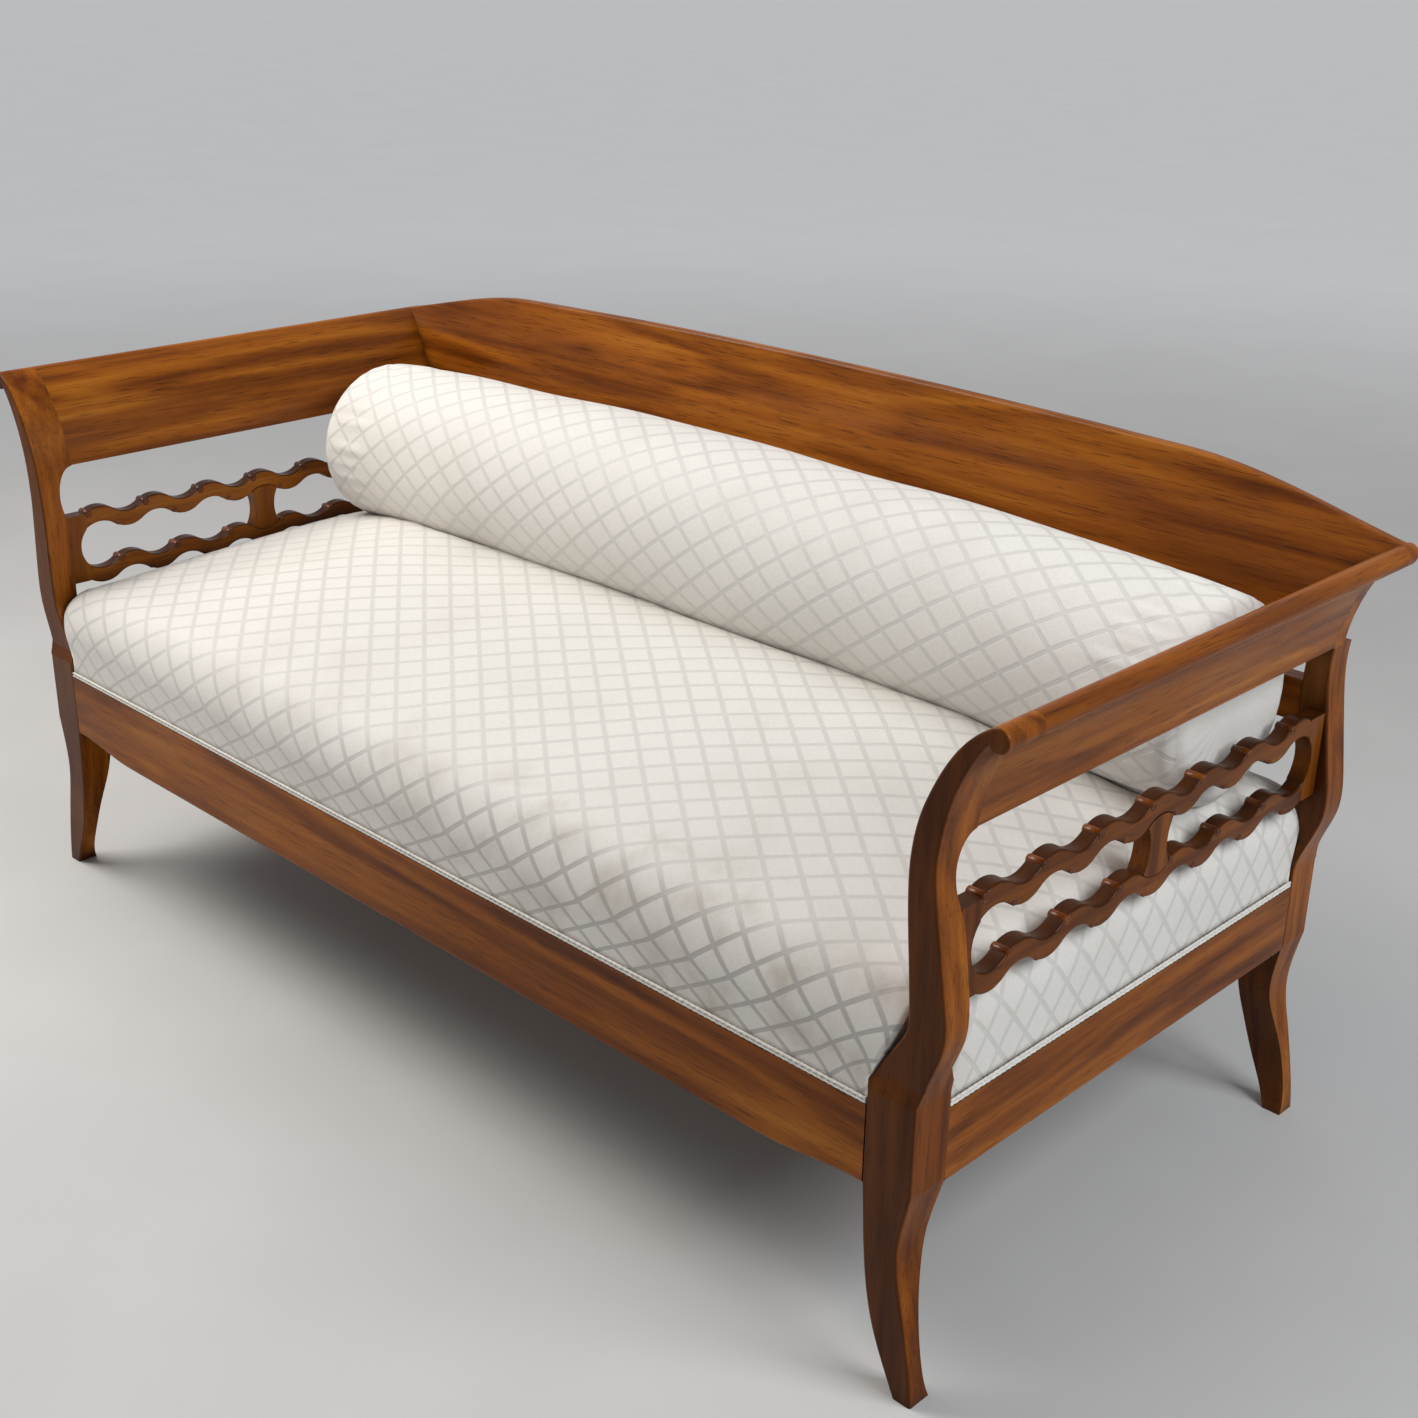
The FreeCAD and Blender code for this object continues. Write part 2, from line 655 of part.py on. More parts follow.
def strap(name, end, side):
    """Upright strap that ties the slats together against a post, hollowed between them."""
    body = new_body(f"{name}_{end}_strap")
    half_tall = size("slat_tall") / 2
    low, high = size("lower_slat_level") - half_tall, size("upper_slat_level") + half_tall
    hollow_low, hollow_high = size("lower_slat_level") + half_tall, size("upper_slat_level") - half_tall
    outer = opening[end]
    inner, deep = slat_start, slat_start - size("strap_hollow")
    if end == "rear":
        inner, deep = slat_end, slat_end + size("strap_hollow")
    edges = chain([(inner, hollow_high), (inner, high), (outer, high), (outer, low), (inner, low),
                   (inner, hollow_low)])
    edges.append(arc((inner, hollow_low), (deep, strap_level), (inner, hollow_high)))
    pad(body, "YZ_Plane", edges, slat_offset(side), "sizes.slat_thick")
    bore(body, (side * slat_middle, outer, strap_level), "y")
    for level in ("upper_slat_level", "lower_slat_level"):
        bore(body, (side * slat_middle, inner, size(level)), "y")


def centre_strut(name, side):
    """Short waisted strut between the two slats."""
    body = new_body(f"{name}_centre_strut")
    middle_step = WAVES // 2
    y0 = slat_start + middle_step * wave_step
    y1 = y0 + wave_step
    low = size("lower_slat_level") + size("slat_tall") / 2
    high = size("upper_slat_level") - size("slat_tall") / 2
    centre = (y0 + y1) / 2
    way = 1 if middle_step % 2 == 0 else -1
    waist = size("strut_waist")
    level = (low + high) / 2
    edges = [
        arc((y0, high), (centre, high + way * size("wave_rise")), (y1, high)),
        arc((y1, high), (y1 - waist, level), (y1, low)),
        arc((y1, low), (centre, low - way * size("wave_rise")), (y0, low)),
        arc((y0, low), (y0 + waist, level), (y0, high)),
    ]
    pad(body, "YZ_Plane", edges, slat_offset(side), "sizes.slat_thick")


def arm_openwork(name, side):
    """All pieces between the posts of one arm."""
    slat(f"{name}_upper_slat", side, size("upper_slat_level"), 1)
    slat(f"{name}_lower_slat", side, size("lower_slat_level"), -1)
    for end in opening:
        strap(name, end, side)
    centre_strut(name, side)


# Corner blocks, screws and dowels
def corner_blocks():
    """Glued blocks that fit round the posts inside the seat frame."""
    rail_inside = half_depth - size("rail_thick")
    side_inside = post_reach - size("rail_thick")
    leg = size("block_leg")
    corner = [(post_inside, rail_inside), (post_inside - leg, rail_inside), (side_inside, post_back - leg),
              (side_inside, post_back), (post_inside, post_back)]
    members = []
    for side in (-1, 1):
        for end in (-1, 1):
            places = [Vector(side * x, end * y, size("block_foot")) for x, y in corner + corner[:1]]
            block = doc.addObject("Part::Feature", "corner_block")
            block.Shape = Part.Face(Part.makePolygon(places)).extrude(Vector(0, 0, size("block_tall")))
            members.append(block)
    group("corner_blocks", members)


def screw_shape():
    """Countersunk wood screw along -Z, with its head's face at the origin."""
    outline = [(0, 0), (4.5, 0), (2.2, -3), (2.2, -34), (0.3, -42), (0, -42)]
    wire = Part.makePolygon([Vector(r, 0, z) for r, z in outline + outline[:1]])
    return Part.Face(wire).revolve(Vector(0, 0, 0), Vector(0, 0, 1), 360)


def corner_screws():
    """Two screws through each corner block into the two rails beside it."""
    level = size("block_foot") + size("block_tall") / 2
    rail_inside = half_depth - size("rail_thick")
    side_inside = post_reach - size("rail_thick")
    slant, back, spread = size("block_leg") / 2, size("screw_back"), size("screw_spread")
    members = []
    for side in (-1, 1):
        for end in (-1, 1):
            into_end = Vector(side * (post_inside - slant), end * (rail_inside - back), level + spread)
            into_side = Vector(side * (side_inside - back), end * (post_back - slant), level - spread)
            for place, way in ((into_end, Vector(0, end, 0)), (into_side, Vector(side, 0, 0))):
                screw = doc.addObject("Part::Feature", "corner_screw")
                screw.Shape = screw_shape()
                screw.Placement = Placement(place, Rotation(Vector(0, 0, -1), way))
                members.append(screw)
    group("corner_screws", members)


def frame_dowels():
    """Glued beech dowels of the arm and back joints."""
    members = []
    for centre, along in dowel_places:
        dowel = doc.addObject("Part::Cylinder", "dowel")
        dowel.setExpression("Radius", "sizes.dowel_radius")
        dowel.setExpression("Height", "sizes.dowel_long")
        dowel.Placement = peg_placement(centre, along)
        members.append(dowel)
    group("frame_dowels", members)


# Upholstery of the seat
def evenly(count, step):
    """Places on both sides of the middle, a step apart."""
    return [(index - (count - 1) / 2) * step for index in range(count)]


def seat_webbing():
    """Two layers of webbing tacked over the seat rails."""
    over_y = "(sizes.half_depth - sizes.cloth_margin)"
    over_x = "(sizes.post_reach - sizes.cloth_margin)"
    first, second = "sizes.rail_top", "sizes.rail_top + sizes.web_thick"
    third = "sizes.rail_top + 2 * sizes.web_thick"
    across = [plain_box("web", (f"{x} - sizes.web_width / 2", f"-{over_y}", first),
                        (f"{x} + sizes.web_width / 2", over_y, second))
              for x in evenly(WEBS_ACROSS, size("web_step_across"))]
    along = [plain_box("web", (f"-{over_x}", f"{y} - sizes.web_width / 2", second),
                       (over_x, f"{y} + sizes.web_width / 2", third))
             for y in evenly(WEBS_ALONG, size("web_step_along"))]
    group("seat_webbing_across", across)
    group("seat_webbing_along", along)


def notched(half_x, half_y, room):
    """Rectangle with its corners cut out round the posts."""
    x, y = post_inside - room, post_back - room
    quarter = [(half_x, y), (x, y), (x, half_y)]
    points = list(quarter)
    points += [(-a, b) for a, b in reversed(quarter)]
    points += [(-a, -b) for a, b in quarter]
    points += [(a, -b) for a, b in reversed(quarter)]
    return points


def seat_hessian():
    """Coarse cloth over the webbing."""
    cloth = new_body("seat_hessian")
    margin = size("cloth_margin")
    room = size("seat_room") + size("cover_thick") + size("hessian_gap")
    points = notched(post_reach - margin, half_depth - margin, room)
    pad(cloth, "XY_Plane", polygon(points), "sizes.rail_top + 2 * sizes.web_thick", "sizes.hessian_thick")


def seat_section(from_end, inset, foot):
    """Section of the domed seat at a distance in from its end, drawn in all round by an inset."""
    margin = size("braid_thick") + size("seat_room") + inset
    half_x, half_y = post_reach - margin, half_depth - margin
    border = rail_top + size("seat_border") - inset / 2
    rise, run = size("shoulder_rise"), size("shoulder_run")
    turned = 1 - min(from_end / size("end_shoulder_run"), 1)
    shoulder = border + rise * (END_SHOULDER_SHARE + (1 - END_SHOULDER_SHARE) * math.sqrt(1 - turned ** 2))
    dome = size("seat_crown") - size("seat_border") - rise
    climbed = math.sin(min(from_end / size("dome_run"), 1) * math.pi / 2)
    dome *= END_DOME_SHARE + (1 - END_DOME_SHARE) * climbed
    edge = half_y - run
    crown = [(edge * back, shoulder + dome * up) for back, up in CROWN_SHAPE]
    bend_y = half_y - run * (1 - HALFWAY)
    bend_z = border + (shoulder - border) * HALFWAY
    return half_x - from_end, [
        [(-half_y, foot), (-half_y, border)],
        [(-half_y, border), (-bend_y, bend_z), (-edge, shoulder)],
        [(-edge, shoulder), *crown, (edge, shoulder)],
        [(edge, shoulder), (bend_y, bend_z), (half_y, border)],
        [(half_y, border), (half_y, foot)],
        [(half_y, foot), (-half_y, foot)],
    ]


def seat_wire(x, section):
    """Closed wire of one section of the seat, square to its length."""
    edges = []
    for run in section:
        points = [Vector(x, y, z) for y, z in run]
        if len(points) == 2:
            edge = Part.LineSegment(*points)
        elif len(points) == 3:
            edge = Part.Arc(*points)
        else:
            edge = Part.BSplineCurve()
            edge.interpolate(Points=points)
        edges.append(edge.toShape())
    return Part.Wire(edges)


def seat_dome(inset, foot):
    """Crowned form of the seat with its corners cut out round the posts."""
    right = [seat_section(station, inset, foot) for station in STATIONS]
    left = [(-x, section) for x, section in right]
    middle = [(0, right[-1][1])]
    wires = [seat_wire(x, section) for x, section in left + middle + right[::-1]]
    dome = Part.makeLoft(wires, True, False)
    room = size("seat_room") + inset
    for side in (-1, 1):
        for end in (-1, 1):
            notch = Part.makeBox(CLEAR, CLEAR, CLEAR)
            notch.Placement.Base = Vector(post_inside - room if side > 0 else -post_inside + room - CLEAR,
                                          post_back - room if end > 0 else -post_back + room - CLEAR, 0)
            dome = dome.cut(notch)
    return dome


def soft_node(label, shape):
    """Sub-part whose free form comes straight from sections."""
    node = doc.addObject("Part::Feature", label)
    node.Label = label
    node.Shape = shape
    sub_parts.append(node)


def seat_upholstery():
    """Stuffing under a close cover."""
    thick = size("cover_thick")
    top_of_cloth = rail_top + 2 * size("web_thick") + size("hessian_thick")
    below = rail_top - size("rail_thick")
    soft_node("seat_cover", seat_dome(0, rail_top).cut(seat_dome(thick, below)))
    soft_node("seat_stuffing", seat_dome(thick + size("cover_gap"), top_of_cloth))


def seat_braid():
    """Narrow braid over the lower edge of the cover, in four lengths."""
    low, high = "sizes.rail_top", "sizes.rail_top + sizes.braid_tall"
    end_x = "(sizes.post_reach - sizes.post_width - sizes.seat_room)"
    end_y = "(sizes.half_depth - sizes.post_depth - sizes.seat_room)"
    members = []
    for way in (-1, 1):
        y = ordered("sizes.half_depth - sizes.braid_thick", "sizes.half_depth", way)
        members.append(plain_box("braid", (f"-{end_x}", y[0], low), (end_x, y[1], high)))
        x = ordered("sizes.post_reach - sizes.braid_thick", "sizes.post_reach", way)
        members.append(plain_box("braid", (x[0], f"-{end_y}", low), (x[1], end_y, high)))
    group("seat_braid", members)


# Loose bolster along the back
def bolster_half_outline(inset):
    """Right half of the bolster's outline from its middle to the centre of its end."""
    middle = size("bolster_radius") - inset
    end = size("bolster_end_radius") - inset
    tip = size("bolster_half") - inset
    rim = size("bolster_rim")
    bend = rim * (1 - HALFWAY)
    dimple = tip - size("bolster_dimple")
    return [(0, middle), (tip - rim, end), (tip - bend, end - bend), (tip, end - rim), (dimple, 0)]


def bolster_edges(inset):
    """Upper outline of the bolster from its left end to its right end."""
    right = bolster_half_outline(inset)
    left = [(-x, r) for x, r in right]
    barrel, shoulder, bend, face, hub = range(5)
    return [
        line(left[hub], left[face]),
        arc(left[face], left[bend], left[shoulder]),
        arc(left[shoulder], right[barrel], right[shoulder]),
        arc(right[shoulder], right[bend], right[face]),
        line(right[face], right[hub]),
    ]


def revolved(label, edges):
    """Body turned about the bolster's length."""
    body = new_body(label)
    outline = sketch(body, "XZ_Plane", edges)
    turn = body.newObject("PartDesign::Revolution", label + "_turn")
    turn.Profile = outline
    turn.ReferenceAxis = (outline, ["H_Axis"])
    turn.Angle = 360
    body.setExpression("Placement.Base.x", "sizes.bolster_shift")
    body.setExpression("Placement.Base.y", "sizes.bolster_back")
    body.setExpression("Placement.Base.z", "sizes.bolster_level")
    doc.recompute()


def bolster():
    """Cover and filling of the bolster."""
    thick = size("bolster_cover_thick")
    outer, inner = bolster_half_outline(0)[-1][0], bolster_half_outline(thick)[-1][0]
    skin = bolster_edges(0) + bolster_edges(thick)
    skin += [line((side * outer, 0), (side * inner, 0)) for side in (-1, 1)]
    revolved("bolster_cover", skin)
    inset = thick + size("cover_gap")
    filling = bolster_half_outline(inset)[-1][0]
    revolved("bolster_filling", bolster_edges(inset) + [line((-filling, 0), (filling, 0))])


for name, side in SIDES.items():
    front_post(name, side)
    rear_post(name, side)
    side_rail(name, side)
    arm_rail(name, side)
    arm_openwork(name, side)
end_rail("front_seat_rail", -1)
end_rail("rear_seat_rail", 1)
seat_stretcher()
back_board()
stay_rail()
corner_blocks()
corner_screws()
frame_dowels()
seat_webbing()
seat_hessian()
seat_upholstery()
seat_braid()
bolster()
doc.recompute()

for item in doc.Objects:
    if "Invalid" in item.State or "Error" in item.State:
        raise RuntimeError(f"{item.Label} failed: {item.State}")
os.makedirs("parts", exist_ok=True)
for part in sub_parts:
    if part.Shape.isNull() or not part.Shape.isValid():
        raise RuntimeError(f"{part.Label} has no valid shape")
    part.Shape.exportStep(f"parts/{part.Label}.step")
    print(part.Label, len(part.Shape.Solids), round(part.Shape.Volume / 1000), "cm3")
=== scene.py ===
import logging
import math
from dataclasses import dataclass, replace
from enum import Enum
from typing import NamedTuple, Sequence

import bpy
import numpy as np
from mathutils import Matrix, Vector
from mathutils.bvhtree import BVHTree


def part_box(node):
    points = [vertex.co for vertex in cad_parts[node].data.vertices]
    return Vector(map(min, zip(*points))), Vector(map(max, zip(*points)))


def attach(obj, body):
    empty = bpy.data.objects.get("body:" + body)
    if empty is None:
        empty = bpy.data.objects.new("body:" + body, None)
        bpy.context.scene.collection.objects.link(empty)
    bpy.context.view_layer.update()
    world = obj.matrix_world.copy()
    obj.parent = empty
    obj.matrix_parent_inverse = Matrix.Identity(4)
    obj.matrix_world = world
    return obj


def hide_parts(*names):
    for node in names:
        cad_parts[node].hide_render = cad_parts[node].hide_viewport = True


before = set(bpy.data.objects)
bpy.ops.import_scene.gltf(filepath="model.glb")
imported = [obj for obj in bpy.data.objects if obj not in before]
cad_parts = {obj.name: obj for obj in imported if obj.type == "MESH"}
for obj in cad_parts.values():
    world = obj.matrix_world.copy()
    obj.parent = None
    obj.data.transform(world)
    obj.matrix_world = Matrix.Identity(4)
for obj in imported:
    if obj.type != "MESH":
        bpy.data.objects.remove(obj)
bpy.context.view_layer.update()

CLOTH_MAP = "cloth"
PHOTO_SIDE = 1418
TINY = 1e-6
NEAR = 1e-4
LOG = logging.getLogger("settee")

Triple = tuple[float, float, float]
Colour = Triple
Span = tuple[float, float]
Wave = tuple[float, float, float, float]
Socket = bpy.types.NodeSocket

EVEN: Triple = (1.0, 1.0, 1.0)
UPWARD: Triple = (0.0, 0.0, 1.0)
FORWARD: Triple = (0.0, -1.0, 0.0)


class Body(Enum):
    """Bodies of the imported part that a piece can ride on."""

    FRAME = "frame"
    BOLSTER = "bolster"


class Slot(Enum):
    """Material slots of the pieces that are made here."""

    WALNUT = "walnut"
    DAMASK = "damask"
    BRAID = "braid"


class Grain(Enum):
    """Direction in which the grain of a timber piece runs."""

    ALONG_X = 0
    ALONG_Y = 1
    ALONG_Z = 2


class NodeBench:
    """Adds and joins the shader nodes of one material."""

    def __init__(self, name: str) -> None:
        """Start an empty material with a Principled shader.

        Args:
            name: Name of the material.
        """
        self.material = bpy.data.materials.new(name)
        self.material.use_nodes = True
        self.tree = self.material.node_tree
        self.tree.nodes.clear()
        output = self.tree.nodes.new("ShaderNodeOutputMaterial")
        self.shader = self.tree.nodes.new("ShaderNodeBsdfPrincipled")
        self.join(self.shader.outputs["BSDF"], output.inputs["Surface"])

    def add(self, kind: str, **settings: object) -> bpy.types.Node:
        """Add a node.

        Args:
            kind: Node type without its ShaderNode prefix.
            settings: Properties to set on the node.

        Returns:
            The new node.
        """
        node = self.tree.nodes.new("ShaderNode" + kind)
        for key, value in settings.items():
            setattr(node, key, value)
        return node

    def join(self, source: Socket, target: Socket) -> None:
        """Link an output to an input."""
        self.tree.links.new(source, target)

    def set(self, **values: object) -> None:
        """Set constant values on the shader's own sockets, with spaces written as underscores."""
        for key, value in values.items():
            self.shader.inputs[key.replace("_", " ")].default_value = value

    def math(self, operation: str, first: Socket, second: Socket | float) -> Socket:
        """Combine two numbers.

        Args:
            operation: Name of the Math node's operation.
            first: First number.
            second: Second number, linked or constant.

        Returns:
            The result's socket.
        """
        node = self.add("Math", operation=operation)
        self.join(first, node.inputs[0])
        if isinstance(second, (int, float)):
            node.inputs[1].default_value = second
        else:
            self.join(second, node.inputs[1])
        return node.outputs[0]

    def spread(self, value: Socket, low: float, high: float, to_low: float, to_high: float) -> Socket:
        """Map a number smoothly from one range to another, held at the ends.

        Args:
            value: Number to map.
            low: Lower end of the source range.
            high: Higher end of the source range.
            to_low: Result at the lower end.
            to_high: Result at the higher end.

        Returns:
            The mapped number's socket.
        """
        node = self.add("MapRange", interpolation_type="SMOOTHSTEP")
        self.join(value, node.inputs["Value"])
        for key, number in (("From Min", low), ("From Max", high), ("To Min", to_low), ("To Max", to_high)):
            node.inputs[key].default_value = number
        return node.outputs["Result"]

    def blend(self, share: Socket, first: Socket | Colour, second: Socket | Colour) -> Socket:
        """Mix two colours by a share that varies over the surface.

        Args:
            share: Share of the second colour.
            first: First colour, linked or constant.
            second: Second colour, linked or constant.

        Returns:
            The mixed colour's socket.
        """
        node = self.add("Mix", data_type="RGBA")
        factor, start, end = (node.inputs[number] for number in (0, 6, 7))
        self.join(share, factor)
        for socket, colour in ((start, first), (end, second)):
            if isinstance(colour, tuple):
                socket.default_value = (*colour, 1.0)
            else:
                self.join(colour, socket)
        return node.outputs[2]

    def axes(self, vector: Socket) -> Sequence[Socket]:
        """Split a vector into its three numbers.

        Args:
            vector: Vector to split.

        Returns:
            The sockets of the three numbers.
        """
        node = self.add("SeparateXYZ")
        self.join(vector, node.inputs[0])
        return node.outputs

    def place(self, scale: Sequence[float] = EVEN, shift: Sequence[float] = (0.0, 0.0, 0.0)) -> Socket:
        """Object coordinates, stretched and shifted.

        Args:
            scale: Scale along each axis.
            shift: Shift along each axis.

        Returns:
            The vector's socket.
        """
        mapping = self.add("Mapping")
        mapping.inputs["Scale"].default_value = scale
        mapping.inputs["Location"].default_value = shift
        self.join(self.add("TexCoord").outputs["Object"], mapping.inputs["Vector"])
        return mapping.outputs["Vector"]

    def noise(self, vector: Socket, scale: float, detail: float = 3.0, distortion: float = 0.0) -> Socket:
        """Noise from 0 to 1 on a vector.

        Args:
            vector: Where the noise is read.
            scale: Fineness of the noise.
            detail: Number of octaves.
            distortion: Amount of warping.

        Returns:
            The noise's socket.
        """
        node = self.add("TexNoise")
        for key, value in (("Scale", scale), ("Detail", detail), ("Distortion", distortion)):
            node.inputs[key].default_value = value
        self.join(vector, node.inputs["Vector"])
        return node.outputs["Fac"]

    def ramp(self, value: Socket, stops: Sequence[tuple[float, Colour]]) -> Socket:
        """Colour ramp.

        Args:
            value: Place on the ramp.
            stops: Positions and colours.

        Returns:
            The colour's socket.
        """
        node = self.add("ValToRGB")
        elements = node.color_ramp.elements
        for _ in stops[2:]:
            elements.new(0.5)
        for element, (position, colour) in zip(elements, stops):
            element.position = position
            element.color = (*colour, 1.0)
        self.join(value, node.inputs["Fac"])
        return node.outputs["Color"]

    def bump(self, height: Socket, depth: float, strength: float = 1.0) -> None:
        """Give the shader a bump.

        Args:
            height: Height from 0 to 1.
            depth: Real depth in metres at full height.
            strength: Share of the effect.
        """
        node = self.add("Bump")
        node.inputs["Strength"].default_value = strength
        node.inputs["Distance"].default_value = depth
        self.join(height, node.inputs["Height"])
        self.join(node.outputs["Normal"], self.shader.inputs["Normal"])


@dataclass(frozen=True)
class TimberFinish:
    """Timber with grain along one axis of the piece."""

    name: str
    tones: tuple[tuple[float, Colour], ...]
    recess: Colour
    roughness: Span
    coat: float
    coat_roughness: float = 0.14
    gloss: float = 0.08
    figure: float = 1.0
    ring_stretch: Span = (0.55, 4.0)
    streak_stretch: Span = (1.6, 60.0)
    pore_stretch: Span = (22.0, 620.0)
    smear_stretch: Span = (4.0, 14.0)
    ring_count: float = 7.0
    ring_share: float = 0.16
    streak_share: float = 0.60
    patch_share: float = 0.24
    pore_share: float = 0.55
    pore_span: Span = (0.30, 0.46)
    # Darkening by ambient occlusion in the corners: partly dirt, partly painted shade.
    dirt_shade_reach: float = 0.03
    dirt_shade_share: float = 0.85
    dirt_shade_span: Span = (0.25, 0.95)
    relief: float = 0.0005
    relief_strength: float = 0.35
    board_shift: float = 0.37
    # Painted shade on the faces turned to one side.
    side_shade: float = 0.0
    side_shade_span: Span = (0.15, 0.75)
    shaded_side: Triple = UPWARD

    def material(self, grain: Grain, seed: int) -> bpy.types.Material:
        """Make the material of one board.

        Args:
            grain: Direction of the grain.
            seed: Number that gives each board its own figure.

        Returns:
            The new material.
        """
        bench = NodeBench(f"{self.name}_{seed}")
        shift = tuple(self.board_shift * seed * (axis + 1) for axis in range(3))
        along = np.array([1.0 if axis == grain.value else 0.0 for axis in range(3)])

        def board(run: float, across: float) -> Socket:
            """Place on the board, scaled along and across the grain."""
            return bench.place(tuple(run * along + across * (1.0 - along)), shift)

        slow = bench.noise(board(*self.ring_stretch), scale=1.5, detail=3.0, distortion=0.5 * self.figure)
        rings = bench.math("PINGPONG", bench.math("MULTIPLY", slow, self.ring_count), 0.5)
        streaks = bench.noise(board(*self.streak_stretch), scale=1.0, detail=6.0, distortion=0.15)
        pores = bench.noise(board(*self.pore_stretch), scale=1.0, detail=2.0)
        patch = bench.noise(board(1.0, 1.0), scale=3.0, detail=2.0)
        smear = bench.noise(board(*self.smear_stretch), scale=1.4, detail=3.0)
        tone = bench.math("MULTIPLY", bench.spread(rings, 0.0, 0.5, 0.0, 1.0), self.ring_share)
        for layer, share in ((streaks, self.streak_share), (patch, self.patch_share)):
            tone = bench.math("ADD", tone, bench.math("MULTIPLY", layer, share))
        colour = bench.ramp(tone, self.tones)
        open_pores = bench.spread(pores, *self.pore_span, self.pore_share, 0.0)
        colour = bench.blend(open_pores, colour, self.recess)
        # Corners darkened by ambient occlusion: dirt and painted shade.
        colour = bench.blend(self.dirt_and_corner_shade(bench), colour, self.recess)
        # Faces turned to one side darkened: painted shade.
        if self.side_shade:
            colour = bench.blend(self.painted_side_shade(bench), colour, self.recess)
        bench.join(colour, bench.shader.inputs["Base Color"])
        bench.join(bench.spread(smear, 0.3, 0.7, *self.roughness), bench.shader.inputs["Roughness"])
        bench.set(Coat_Weight=self.coat, Coat_Roughness=self.coat_roughness, Specular_IOR_Level=self.gloss)
        height = bench.math("MULTIPLY", bench.math("ADD", pores, smear), 0.5)
        bench.bump(height, self.relief, self.relief_strength)
        return bench.material

    def dirt_and_corner_shade(self, bench: NodeBench) -> Socket:
        """Dirt that has stayed in the corners, together with painted shade there: darker where ambient
        occlusion finds other surfaces close.

        Args:
            bench: Material under work.

        Returns:
            Share of the dirt and painted shade.
        """
        corner = bench.add("AmbientOcclusion", samples=6)
        corner.inputs["Distance"].default_value = self.dirt_shade_reach
        return bench.spread(corner.outputs["AO"], *self.dirt_shade_span, self.dirt_shade_share, 0.0)

    def painted_side_shade(self, bench: NodeBench) -> Socket:
        """Painted shade on the faces that are turned to one side, darker the more they face it.

        Args:
            bench: Material under work.

        Returns:
            Share of the painted shade.
        """
        facing = bench.add("VectorMath", operation="DOT_PRODUCT")
        bench.join(bench.add("TexCoord").outputs["Normal"], facing.inputs[0])
        facing.inputs[1].default_value = self.shaded_side
        return bench.spread(facing.outputs["Value"], *self.side_shade_span, 0.0, self.side_shade)


